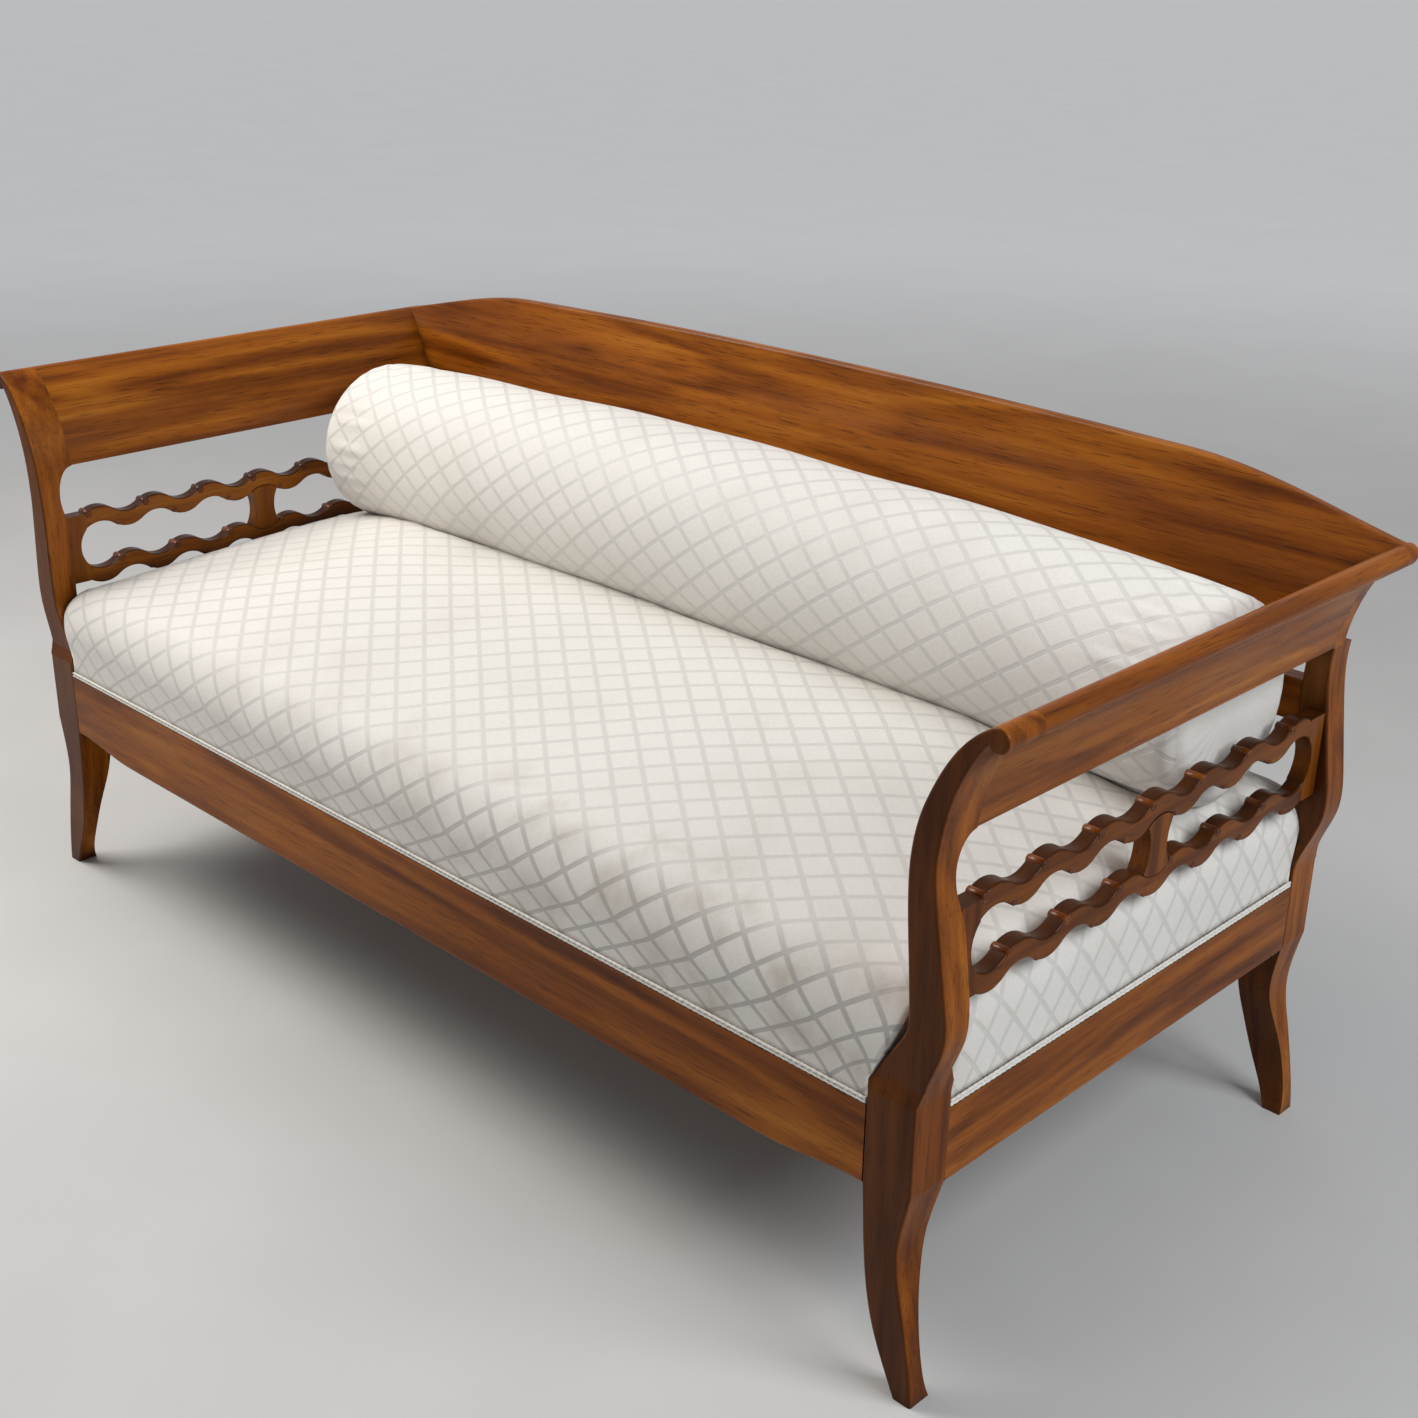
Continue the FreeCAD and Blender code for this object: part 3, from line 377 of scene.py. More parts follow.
@dataclass(frozen=True)
class DamaskFinish:
    """Ivory damask with a diagonal lattice of satin bands."""

    name: str
    cell: Colour = (0.79, 0.765, 0.72)
    band: Colour = (0.67, 0.653, 0.615)
    soil: Colour = (0.40, 0.335, 0.25)
    shade: Colour = (0.36, 0.355, 0.345)
    lattice_across: float = 0.0612
    lattice_along: float = 0.0480
    band_share: float = 0.080
    band_edge: float = 0.030
    lattice_shown: float = 1.0
    soiled_and_shaded: bool = False
    thread_count: float = 150.0
    thread_run: float = 6.0
    slub_share: float = 0.16
    slub_span: Span = (0.12, 0.42)
    mottle_share: float = 0.14
    mottle_span: Span = (0.45, 0.8)
    roughness: Span = (0.82, 0.55)
    sheen: float = 0.12
    sheen_blur: float = 0.45
    gloss: float = 0.3
    relief: float = 0.0011
    relief_strength: float = 0.7
    # Painted shade on the front border's bands and soiling near the front, both painted darker to the right.
    border_span: Span = (-0.395, -0.345)
    border_share: float = 0.62
    soil_span: Span = (-0.385, -0.27)
    soil_range: Span = (0.03, 0.60)
    cloud_span: Span = (0.42, 0.74)
    right_shade_span: Span = (-0.6, 0.78)
    right_shade_least: float = 0.10

    def material(self) -> bpy.types.Material:
        """Make the cloth's material, which reads the cloth map in metres.

        Returns:
            The new material.
        """
        bench = NodeBench(self.name)
        spot = bench.add("UVMap", uv_map=CLOTH_MAP).outputs["UV"]
        bands = self.lattice(bench, spot)
        warp = self.thread(bench, spot, (1.0, self.thread_run, 1.0))
        weft = self.thread(bench, spot, (self.thread_run, 1.0, 1.0))
        mottle = bench.noise(bench.place(), scale=7.0, detail=3.0)
        colour = bench.blend(bands, self.cell, self.band)
        slub = bench.spread(bench.math("MULTIPLY", warp, weft), *self.slub_span, self.slub_share, 0.0)
        colour = bench.blend(slub, colour, self.soil)
        mottled = bench.spread(mottle, *self.mottle_span, 0.0, self.mottle_share)
        colour = bench.blend(mottled, colour, self.soil)
        # Painted shade on the front border's satin bands and soiling near the front, darker to the right.
        if self.soiled_and_shaded:
            border, cloud = self.shade_and_soil(bench)
            band_shade = bench.math("MULTIPLY", bench.math("MULTIPLY", bands, border), self.border_share)
            colour = bench.blend(band_shade, colour, self.shade)
            colour = bench.blend(cloud, colour, self.soil)
        bench.join(colour, bench.shader.inputs["Base Color"])
        bench.join(bench.spread(bands, 0.0, 1.0, *self.roughness), bench.shader.inputs["Roughness"])
        bench.set(Specular_IOR_Level=self.gloss, Sheen_Weight=self.sheen, Sheen_Roughness=self.sheen_blur)
        threads = bench.math("MULTIPLY", bench.math("ADD", warp, weft), 0.18)
        height = bench.math("SUBTRACT", threads, bench.math("MULTIPLY", bands, 0.5))
        bench.bump(height, self.relief, self.relief_strength)
        return bench.material

    def lattice(self, bench: NodeBench, spot: Socket) -> Socket:
        """Two sets of satin bands that cross in diamonds.

        Args:
            bench: Material under work.
            spot: Cloth map.

        Returns:
            Share of the bands.
        """
        split = bench.axes(spot)
        across = bench.math("DIVIDE", split[0], self.lattice_across)
        along = bench.math("DIVIDE", split[1], self.lattice_along)
        inner, outer = self.band_share - self.band_edge, self.band_share + self.band_edge
        masks = []
        for way in ("ADD", "SUBTRACT"):
            off = bench.math("PINGPONG", bench.math(way, across, along), 0.5)
            masks.append(bench.spread(off, inner, outer, 1.0, 0.0))
        return bench.math("MULTIPLY", bench.math("MAXIMUM", *masks), self.lattice_shown)

    def thread(self, bench: NodeBench, spot: Socket, stretch: Triple) -> Socket:
        """Noise drawn out along one way of the cloth.

        Args:
            bench: Material under work.
            spot: Cloth map.
            stretch: Scale along each way of the cloth.

        Returns:
            The noise's socket.
        """
        mapping = bench.add("Mapping")
        mapping.inputs["Scale"].default_value = stretch
        bench.join(spot, mapping.inputs["Vector"])
        return bench.noise(mapping.outputs["Vector"], scale=self.thread_count, detail=2.0)

    def shade_and_soil(self, bench: NodeBench) -> tuple[Socket, Socket]:
        """Painted shade on the satin bands of the front border, and soiling near the front of the seat; both
        are painted darker to the right, as painted shade.

        Args:
            bench: Material under work.

        Returns:
            Share of painted shade on the front border's bands, and share of soiling near the front shoulder,
            which also carries the painted shade to the right.
        """
        split = bench.axes(bench.place())
        border = bench.spread(split[1], *self.border_span, 1.0, 0.0)
        front = bench.spread(split[1], *self.soil_span, 1.0, 0.0)
        right = bench.spread(split[0], *self.right_shade_span, self.right_shade_least, 1.0)
        marks = bench.noise(bench.place(), scale=15.0, detail=5.0)
        cloud = bench.spread(marks, *self.cloud_span, *self.soil_range)
        cloud = bench.math("MULTIPLY", bench.math("MULTIPLY", front, right), cloud)
        return bench.math("MULTIPLY", border, right), cloud


@dataclass(frozen=True)
class WovenFinish:
    """Coarse plain weave, such as jute webbing."""

    name: str
    yarn: Colour
    gap: Colour
    pitch: float
    relief: float = 0.0008

    def material(self) -> bpy.types.Material:
        """Make the weave from two sets of bands on the piece's own axes.

        Returns:
            The new material.
        """
        bench = NodeBench(self.name)
        sets = []
        for place in bench.axes(bench.place())[:2]:
            step = bench.math("PINGPONG", bench.math("DIVIDE", place, self.pitch), 0.5)
            sets.append(bench.spread(step, 0.05, 0.35, 0.0, 1.0))
        weave = bench.math("MULTIPLY", *sets)
        fibre = bench.noise(bench.place(), scale=180.0, detail=3.0)
        share = bench.math("MULTIPLY", weave, bench.spread(fibre, 0.3, 0.7, 0.55, 1.0))
        bench.join(bench.blend(share, self.gap, self.yarn), bench.shader.inputs["Base Color"])
        bench.join(bench.spread(fibre, 0.3, 0.7, 0.8, 0.95), bench.shader.inputs["Roughness"])
        bench.bump(share, self.relief)
        return bench.material


@dataclass(frozen=True)
class BraidFinish:
    """Twisted silk cord of the edge braid."""

    name: str = "edge_braid"
    light: Colour = (0.80, 0.775, 0.72)
    dark: Colour = (0.60, 0.56, 0.49)
    sheen: float = 0.1
    relief: float = 0.0004
    relief_strength: float = 0.5

    def material(self) -> bpy.types.Material:
        """Make the cord's material.

        Returns:
            The new material.
        """
        bench = NodeBench(self.name)
        fibre = bench.noise(bench.place(), scale=300.0, detail=3.0)
        colour = bench.blend(bench.spread(fibre, 0.35, 0.65, 0.0, 0.7), self.light, self.dark)
        bench.join(colour, bench.shader.inputs["Base Color"])
        bench.join(bench.spread(fibre, 0.3, 0.7, 0.5, 0.75), bench.shader.inputs["Roughness"])
        bench.set(Sheen_Weight=self.sheen)
        bench.bump(fibre, self.relief, self.relief_strength)
        return bench.material


@dataclass(frozen=True)
class SteelFinish:
    """Dull screw steel."""

    name: str = "dull_steel"
    clean: Colour = (0.42, 0.41, 0.39)
    rust: Colour = (0.20, 0.13, 0.08)
    metal: float = 0.9

    def material(self) -> bpy.types.Material:
        """Make the steel's material.

        Returns:
            The new material.
        """
        bench = NodeBench(self.name)
        spots = bench.noise(bench.place(), scale=260.0, detail=4.0)
        colour = bench.blend(bench.spread(spots, 0.5, 0.7, 0.0, 0.8), self.clean, self.rust)
        bench.join(colour, bench.shader.inputs["Base Color"])
        bench.join(bench.spread(spots, 0.4, 0.7, 0.35, 0.8), bench.shader.inputs["Roughness"])
        bench.set(Metallic=self.metal)
        return bench.material


def mesh_piece(name: str, points: np.ndarray, faces: Sequence[Sequence[int]],
               cloth: Sequence[Sequence[Span]] | None = None) -> bpy.types.Object:
    """Make a smooth mesh piece.

    Args:
        name: Name of the piece.
        points: Corner points in metres.
        faces: Corner indices of each face.
        cloth: Place on the cloth, in metres, of each corner of each face.

    Returns:
        The new object, linked to the scene.
    """
    mesh = bpy.data.meshes.new(name)
    mesh.from_pydata([tuple(point) for point in points], [], [tuple(face) for face in faces])
    if cloth is not None:
        layer = mesh.uv_layers.new(name=CLOTH_MAP)
        spots = [spot for corners in cloth for spot in corners]
        layer.data.foreach_set("uv", np.asarray(spots, np.float32).ravel())
    mesh.polygons.foreach_set("use_smooth", [True] * len(mesh.polygons))
    mesh.validate()
    mesh.update()
    piece = bpy.data.objects.new(name, mesh)
    bpy.context.scene.collection.objects.link(piece)
    return piece


def points_of(piece: bpy.types.Object) -> np.ndarray:
    """Corner points of a mesh piece.

    Args:
        piece: Mesh piece.

    Returns:
        One row of three places for each corner.
    """
    flat = np.zeros(len(piece.data.vertices) * 3)
    piece.data.vertices.foreach_get("co", flat)
    return flat.reshape(-1, 3)


def set_points(piece: bpy.types.Object, points: np.ndarray) -> None:
    """Move the corner points of a mesh piece."""
    piece.data.vertices.foreach_set("co", points.astype(np.float32).ravel())
    piece.data.update()


def dress(piece: bpy.types.Object, material: bpy.types.Material) -> None:
    """Give a piece one material on all its slots.

    Args:
        piece: Mesh piece.
        material: Material that it gets.
    """
    if not piece.material_slots:
        piece.data.materials.append(material)
    for held in piece.material_slots:
        held.material = material


def ripple(points: np.ndarray, waves: Sequence[Wave]) -> np.ndarray:
    """Uneven surface made of a few long plane waves.

    Args:
        points: Places in plan, in metres.
        waves: Wave counts per metre along X and Y, phase and height of each wave.

    Returns:
        Height at each place.
    """
    total = np.zeros(len(points))
    for across, along, phase, height in waves:
        total += height * np.sin(2.0 * math.pi * (across * points[:, 0] + along * points[:, 1]) + phase)
    return total


@dataclass
class Swelling:
    """Short cloth simulation with pressure on a stuffed cover, outward where its faces look outward."""

    cap: float
    pressure: float = 4.0
    frames: int = 20
    steps: int = 3
    mass: float = 0.3
    tension: float = 20.0
    shear: float = 8.0
    bending: float = 0.6

    def apply(self, piece: bpy.types.Object, held: np.ndarray) -> None:
        """Simulate a piece and keep the result in its mesh.

        Args:
            piece: Closed mesh piece.
            held: True for the corners that stay where they are.
        """
        start = points_of(piece)
        group = piece.vertex_groups.new(name="held")
        group.add([int(index) for index in np.flatnonzero(held)], 1.0, "REPLACE")
        modifier = piece.modifiers.new("swell", "CLOTH")
        settings = modifier.settings
        settings.quality = self.steps
        settings.mass = self.mass
        settings.tension_stiffness = self.tension
        settings.compression_stiffness = self.tension
        settings.shear_stiffness = self.shear
        settings.bending_stiffness = self.bending
        settings.use_pressure = True
        settings.uniform_pressure_force = self.pressure
        settings.vertex_group_mass = group.name
        settings.effector_weights.gravity = 0.0
        modifier.collision_settings.use_collision = False
        modifier.point_cache.frame_start = 1
        modifier.point_cache.frame_end = self.frames
        scene = bpy.context.scene
        for number in range(1, self.frames + 1):
            scene.frame_set(number)
        swollen = piece.evaluated_get(bpy.context.evaluated_depsgraph_get())
        moved = points_of(swollen) - start
        piece.modifiers.remove(modifier)
        piece.vertex_groups.remove(group)
        scene.frame_set(1)
        travel = np.linalg.norm(moved, axis=1, keepdims=True)
        share = np.minimum(1.0, self.cap / np.maximum(travel, TINY))
        set_points(piece, start + moved * share)


class ShowWood:
    """Polished walnut frame, with its grain and finish."""

    finish = TimberFinish(
        name="walnut",
        tones=((0.30, (0.095, 0.022, 0.002)), (0.45, (0.200, 0.052, 0.004)), (0.58, (0.290, 0.082, 0.006)),
               (0.74, (0.41, 0.140, 0.014))),
        recess=(0.024, 0.006, 0.001),
        roughness=(0.24, 0.40),
        coat=0.11,
    )
    # The volutes' walnut is a darker copy of the frame's, painted shade for the carved hollows.
    carved = TimberFinish(
        name="carved_walnut",
        tones=((0.30, (0.050, 0.012, 0.002)), (0.50, (0.120, 0.030, 0.004)), (0.72, (0.25, 0.070, 0.010))),
        recess=(0.012, 0.004, 0.002),
        roughness=(0.22, 0.36),
        coat=0.3,
    )
    # The slats' walnut is a darker copy of the frame's, painted shade, with more painted shade on its upward
    # faces.
    shaded_slat_finish = replace(
        finish,
        name="shaded_slat_walnut",
        tones=((0.30, (0.062, 0.015, 0.0015)), (0.45, (0.130, 0.034, 0.003)), (0.58, (0.190, 0.053, 0.004)),
               (0.74, (0.28, 0.093, 0.009))),
        side_shade=0.80,
    )
    # The posts' walnut gets painted shade on its forward faces.
    posts = replace(finish, name="post_walnut", side_shade=0.62, shaded_side=FORWARD)
    grains = {
        Grain.ALONG_X: ("front_seat_rail", "rear_seat_rail", "back_board", "back_stay_rail"),
        Grain.ALONG_Y: ("left_seat_rail", "right_seat_rail", "left_arm_rail", "right_arm_rail"),
        Grain.ALONG_Z: ("front_left_post", "front_right_post", "rear_left_post", "rear_right_post"),
    }
    openwork = {
        Grain.ALONG_Y: ("upper_slat", "lower_slat"),
        Grain.ALONG_Z: ("front_strap", "rear_strap", "centre_strut"),
    }

    def dress(self) -> None:
        """Give every walnut piece its own board."""
        seed = 0
        for grain, names in self.grains.items():
            for name in names:
                seed += 1
                # Posts get the walnut with painted shade on their forward faces.
                finish = self.posts if grain is Grain.ALONG_Z else self.finish
                dress(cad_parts[name], finish.material(grain, seed))
        for side in ("left", "right"):
            for grain, names in self.openwork.items():
                for name in names:
                    seed += 1
                    # The slats get the darker copy with painted shade.
                    dress(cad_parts[f"{side}_{name}"], self.shaded_slat_finish.material(grain, seed))
        LOG.info("walnut boards dressed: %d", seed)


class HiddenWork:
    """Beech, screws, webbing and hessian inside the seat."""

    beech = TimberFinish(
        name="beech",
        tones=((0.2, (0.42, 0.26, 0.13)), (0.5, (0.54, 0.36, 0.20)), (0.85, (0.64, 0.46, 0.28))),
        recess=(0.20, 0.11, 0.05),
        roughness=(0.55, 0.75),
        coat=0.0,
        figure=0.4,
    )
    timber = {"seat_stretcher": Grain.ALONG_Y, "corner_blocks": Grain.ALONG_Z, "frame_dowels": Grain.ALONG_Y}
    first_seed = 41
    webbing = WovenFinish("jute_webbing", (0.46, 0.34, 0.19), (0.16, 0.10, 0.05), 0.0035)
    hessian = WovenFinish("hessian", (0.40, 0.28, 0.15), (0.10, 0.06, 0.03), 0.0026)

    def dress(self) -> None:
        """Dress the pieces that show from below."""
        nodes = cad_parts
        for number, (name, grain) in enumerate(self.timber.items()):
            dress(nodes[name], self.beech.material(grain, self.first_seed + number))
        dress(nodes["corner_screws"], SteelFinish().material())
        web = self.webbing.material()
        for name in ("seat_webbing_across", "seat_webbing_along"):
            dress(nodes[name], web)
        dress(nodes["seat_hessian"], self.hessian.material())
        LOG.info("hidden work dressed")


@dataclass
class SeatUpholstery:
    """Domed, stuffed seat with its cover cut round the posts."""

    shoulder_run: float = 0.050
    end_run: float = 0.0625
    shoulder_rise: float = 0.060
    shoulder_lift: float = 0.132
    shoulder_turns: int = 12
    border_rows: int = 7
    border_step: float = 0.010
    dome: float = 0.075
    crown_back: float = 0.070
    front_sweep: float = 1.6
    dome_run: float = 0.42
    end_share: float = 0.10
    room: float = 0.001
    recess_x: float = 0.030
    recess_y: float = 0.0135
    knee_low: float = 0.030
    knee_high: float = 0.100
    taper_from: float = 0.10
    cut_fade: float = 0.030
    step: float = 0.012
    bottom_lift: float = 0.0065
    slack: float = 0.007
    swell_cap: float = 0.011
    free_rise: float = 0.08
    free_beside: float = 0.05
    held_below: float = 0.02
    spill_x: float = 0.003
    spill_y: float = 0.001
    contact_gap: float = 0.0006
    crease_depth: float = 0.0026
    crease_count: float = 11.0
    crease_turn: float = 0.6
    crease_middle: float = 0.025
    crease_width: float = 0.030
    crease_level: float = 0.05
    waves: tuple[Wave, ...] = (
        (1.3, 0.6, 0.4, 0.0013), (-0.8, 2.1, 1.9, 0.0012), (2.9, 1.7, 4.0, 0.0008), (4.3, -3.1, 2.2, 0.0006))

    def __post_init__(self) -> None:
        """Read the room that the frame leaves for the seat."""
        _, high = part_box("seat_cover")
        self.half_x, self.half_y = high.x, high.y
        self.rail_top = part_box("front_seat_rail")[1].z
        self.bottom = self.rail_top + self.bottom_lift
        post_low, post_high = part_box("front_right_post")
        self.foot_x = post_low.x - self.room
        self.foot_y = -post_high.y - self.room
        self.notch_x = self.foot_x + self.recess_x
        self.notch_y = self.foot_y + self.recess_y

    def run_out(self, half: float, run: float, notch: float) -> tuple[np.ndarray, np.ndarray, np.ndarray]:
        """Lay the cover out from the middle to the foot of one border.

        Args:
            half: Half the seat's size that way.
            run: Run of the shoulder.
            notch: Place of the cut beside the post, on the shoulder.

        Returns:
            Places, drops below the dome and distances along the cloth.
        """
        edge = half - run
        rise = self.shoulder_rise
        flat = np.linspace(0.0, edge, int(round(edge / self.step)) + 1)
        turns = np.linspace(0.0, math.pi / 2, self.shoulder_turns + 1)[1:]
        cut = math.asin((notch - edge) / run)
        turns[np.abs(turns - cut).argmin()] = cut
        share = np.linspace(0.0, 1.0, self.border_rows + 1)[1:]
        place = np.concatenate((flat, edge + run * np.sin(turns), np.full(self.border_rows, half)))
        drop = np.concatenate((0.0 * flat, rise * (1.0 - np.cos(turns)), rise + share))
        fall = np.minimum(np.diff(drop), self.border_step)
        return place, drop, np.concatenate(([0.0], np.cumsum(np.hypot(np.diff(place), fall))))

    def dome_height(self, x: np.ndarray, y: np.ndarray) -> np.ndarray:
        """Height of the dome above the shoulders, below zero outside them.

        Args:
            x: Places along the seat.
            y: Places from front to back.

        Returns:
            Height at each place.
        """
        in_from_end = np.clip((self.half_x - np.abs(x)) / self.dome_run, 0.0, 1.0)
        climbed = self.end_share + (1.0 - self.end_share) * np.sin(in_from_end * math.pi / 2)
        edge = self.half_y - self.shoulder_run
        ahead = np.maximum(self.crown_back - y, 0.0) / (edge + self.crown_back)
        behind = np.maximum(y - self.crown_back, 0.0) / (edge - self.crown_back)
        return self.dome * climbed * (1.0 - ahead ** self.front_sweep - behind ** 2)

    def build(self) -> bpy.types.Object:
        """Build the closed cover on its grid.

        Returns:
            The seat piece.
        """
        x_run, x_drop, x_cloth = self.run_out(self.half_x, self.end_run, self.notch_x)
        y_run, y_drop, y_cloth = self.run_out(self.half_y, self.shoulder_run, self.notch_y)

        def both(values: np.ndarray, sign: float) -> np.ndarray:
            """Mirror a run about the middle, with its sign kept or turned."""
            return np.concatenate((sign * values[:0:-1], values))

        xs, ys = both(x_run, -1.0), both(y_run, -1.0)
        us, vs = both(x_cloth, -1.0), both(y_cloth, -1.0)
        grid_x, grid_y = np.meshgrid(xs, ys, indexing="ij")
        drop_x, drop_y = np.meshgrid(both(x_drop, 1.0), both(y_drop, 1.0), indexing="ij")
        rise = self.shoulder_rise
        level = self.rail_top + self.shoulder_lift + self.dome_height(grid_x, grid_y)
        level -= np.minimum(drop_x, rise) + np.minimum(drop_y, rise)
        share = np.maximum(np.maximum(drop_x, drop_y) - rise, 0.0)
        level = level * (1.0 - share) + self.bottom * share
        kept: dict[tuple[int, int], int] = {}
        points: list[Triple] = []
        faces: list[tuple[int, ...]] = []
        corners: list[list[Span]] = []

        def corner_at(i: int, j: int) -> int:
            """Number of the corner at a place on the grid, added when it is first used.

            Args:
                i: Row along the seat.
                j: Row from front to back.

            Returns:
                The corner's number.
            """
            if (i, j) not in kept:
                kept[i, j] = len(points)
                points.append((xs[i], ys[j], level[i, j]))
            return kept[i, j]

        cut_x, cut_y = self.notch_x + TINY, self.notch_y + TINY
        for i in range(len(xs) - 1):
            for j in range(len(ys) - 1):
                beyond_x = max(abs(xs[i]), abs(xs[i + 1])) > cut_x
                if beyond_x and max(abs(ys[j]), abs(ys[j + 1])) > cut_y:
                    continue
                ring = [(i, j), (i + 1, j), (i + 1, j + 1), (i, j + 1)]
                faces.append(tuple(corner_at(*spot) for spot in ring))
                corners.append([(us[a], vs[b]) for a, b in ring])
        points = [tuple(point) for point in self.fit_to_posts(np.array(points))]
        self.close_underneath(points, faces, corners)
        return mesh_piece("seat_cushion", np.array(points), faces, corners)

    def fit_to_posts(self, points: np.ndarray) -> np.ndarray:
        """Draw the borders in beside the thick feet of the posts.

        Args:
            points: Corner points of the cover.

        Returns:
            The points, drawn in.
        """
        fitted = points.copy()
        above = points[:, 2] - self.rail_top - self.knee_low
        climb = np.clip(above / (self.knee_high - self.knee_low), 0.0, 1.0)
        for axis, other, notch, beside, recess in (
                (0, 1, self.notch_x, self.notch_y, self.recess_x),
                (1, 0, self.notch_y, self.notch_x, self.recess_y)):
            near = np.clip((np.abs(points[:, other]) - beside + self.cut_fade) / self.cut_fade, 0.0, 1.0)
            reach = np.clip((np.abs(points[:, axis]) - notch + self.taper_from) / self.taper_from, 0.0, 1.0)
            reach = np.where(np.abs(points[:, axis]) > notch + TINY, 0.0, reach)
            fitted[:, axis] -= np.sign(points[:, axis]) * recess * (1.0 - climb) * near * reach
        return fitted

    def close_underneath(self, points: list[Triple], faces: list[tuple[int, ...]],
                         corners: list[list[Span]]) -> None:
        """Close the cover beside the posts and under the seat.

        Args:
            points: Corner points, added to.
            faces: Faces, added to.
            corners: Cloth places of the faces, added to.
        """
        used = {(a, b) for face in faces for a, b in zip(face, face[1:] + face[:1])}
        rim = {a: b for a, b in used if (b, a) not in used}
        loop = [next(iter(rim))]
        while rim[loop[-1]] != loop[0]:
            loop.append(rim[loop[-1]])
        knee = self.rail_top + self.knee_low
        levels: list[list[int]] = [loop]
        for height in (knee, self.bottom):
            ring = []
            for index in levels[-1]:
                x, y, z = points[index]
                if z <= height + TINY:
                    ring.append(index)
                    continue
                if abs(x) < self.notch_x + NEAR:
                    x = math.copysign(min(abs(x), self.foot_x), x)
                if abs(y) < self.notch_y + NEAR:
                    y = math.copysign(min(abs(y), self.foot_y), y)
                points.append((x, y, height))
                ring.append(len(points) - 1)
            levels.append(ring)
        for upper, lower in zip(levels, levels[1:]):
            for k in range(len(loop)):
                n = (k + 1) % len(loop)
                ring = [upper[n], upper[k], lower[k], lower[n]]
                ring = [spot for at, spot in enumerate(ring) if spot not in ring[:at]]
                if len(ring) > 2:
                    faces.append(tuple(ring))
                    corners.append([(points[spot][0] + points[spot][2], points[spot][1]) for spot in ring])
        under = levels[-1]
        faces.append(tuple(reversed(under)))
        corners.append([(points[spot][0], points[spot][1]) for spot in reversed(under)])

    def soften(self, piece: bpy.types.Object, bolster: bpy.types.Object) -> None:
        """Swell the cover, lay it under the bolster and give it its small unevenness.

        Args:
            piece: Seat piece.
            bolster: Bolster that lies on the seat.
        """
        points = points_of(piece)
        built = points[:, 2].copy()
        border = self.rail_top + self.shoulder_lift - self.shoulder_rise
        free = np.clip((points[:, 2] - border) / self.free_rise, 0.0, 1.0)
        beside = np.maximum(self.notch_x - np.abs(points[:, 0]), self.notch_y - np.abs(points[:, 1]))
        free *= np.clip(beside / self.free_beside, 0.0, 1.0)
        points[:, 2] -= self.slack * free
        set_points(piece, points)
        Swelling(self.swell_cap).apply(piece, free < self.held_below)
        points = points_of(piece)
        points[:, 2] += np.average(built - points[:, 2], weights=free) * free
        points[:, 2] += ripple(points, self.waves) * free
        points[:, 2] += self.gathers(points)
        for axis, reach in ((0, self.half_x + self.spill_x), (1, self.half_y + self.spill_y)):
            points[:, axis] = np.clip(points[:, axis], -reach, reach)
        rounds = [list(face.vertices) for face in bolster.data.polygons]
        skin = BVHTree.FromPolygons(points_of(bolster).tolist(), rounds)
        for index in np.flatnonzero(points[:, 2] > border):
            x, y, z = points[index]
            hit, _, _, _ = skin.ray_cast(Vector((x, y, self.rail_top)), Vector(UPWARD))
            if hit is not None and z > hit.z - self.contact_gap:
                points[index, 2] = hit.z - self.contact_gap
        set_points(piece, points)

    def gathers(self, points: np.ndarray) -> np.ndarray:
        """Small creases that fan out from the cuts round the posts.

        Args:
            points: Corner points of the cover.

        Returns:
            Height to add at each point.
        """
        dx = np.maximum(self.notch_x - np.abs(points[:, 0]), 0.0)
        dy = np.maximum(self.notch_y - np.abs(points[:, 1]), 0.0)
        away = np.hypot(dx, dy)
        turn = np.arctan2(dy, dx)
        fade = np.exp(-((away - self.crease_middle) / self.crease_width) ** 2)
        upper = np.clip((points[:, 2] - self.rail_top) / self.crease_level - 1.0, 0.0, 1.0)
        fold = 0.5 + 0.5 * np.cos(self.crease_count * turn + self.crease_turn)
        return -self.crease_depth * fade * upper * fold

    def dress(self, piece: bpy.types.Object) -> None:
        """Args:
            piece: Seat piece.
        """
        dress(piece, DamaskFinish("seat_damask", soiled_and_shaded=True).material())
        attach(piece, Body.FRAME.value)
        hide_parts("seat_cover", "seat_stuffing")
        crown = points_of(piece)[:, 2].max()
        LOG.info("seat cushion: %d corners, crown %.3f m", len(piece.data.vertices), crown)


class Ring(NamedTuple):
    """One ring of the bolster's cover: place along it, radius, share of pleating, and plain cloth or not."""

    place: float
    radius: float
    pleat: float
    plain: bool


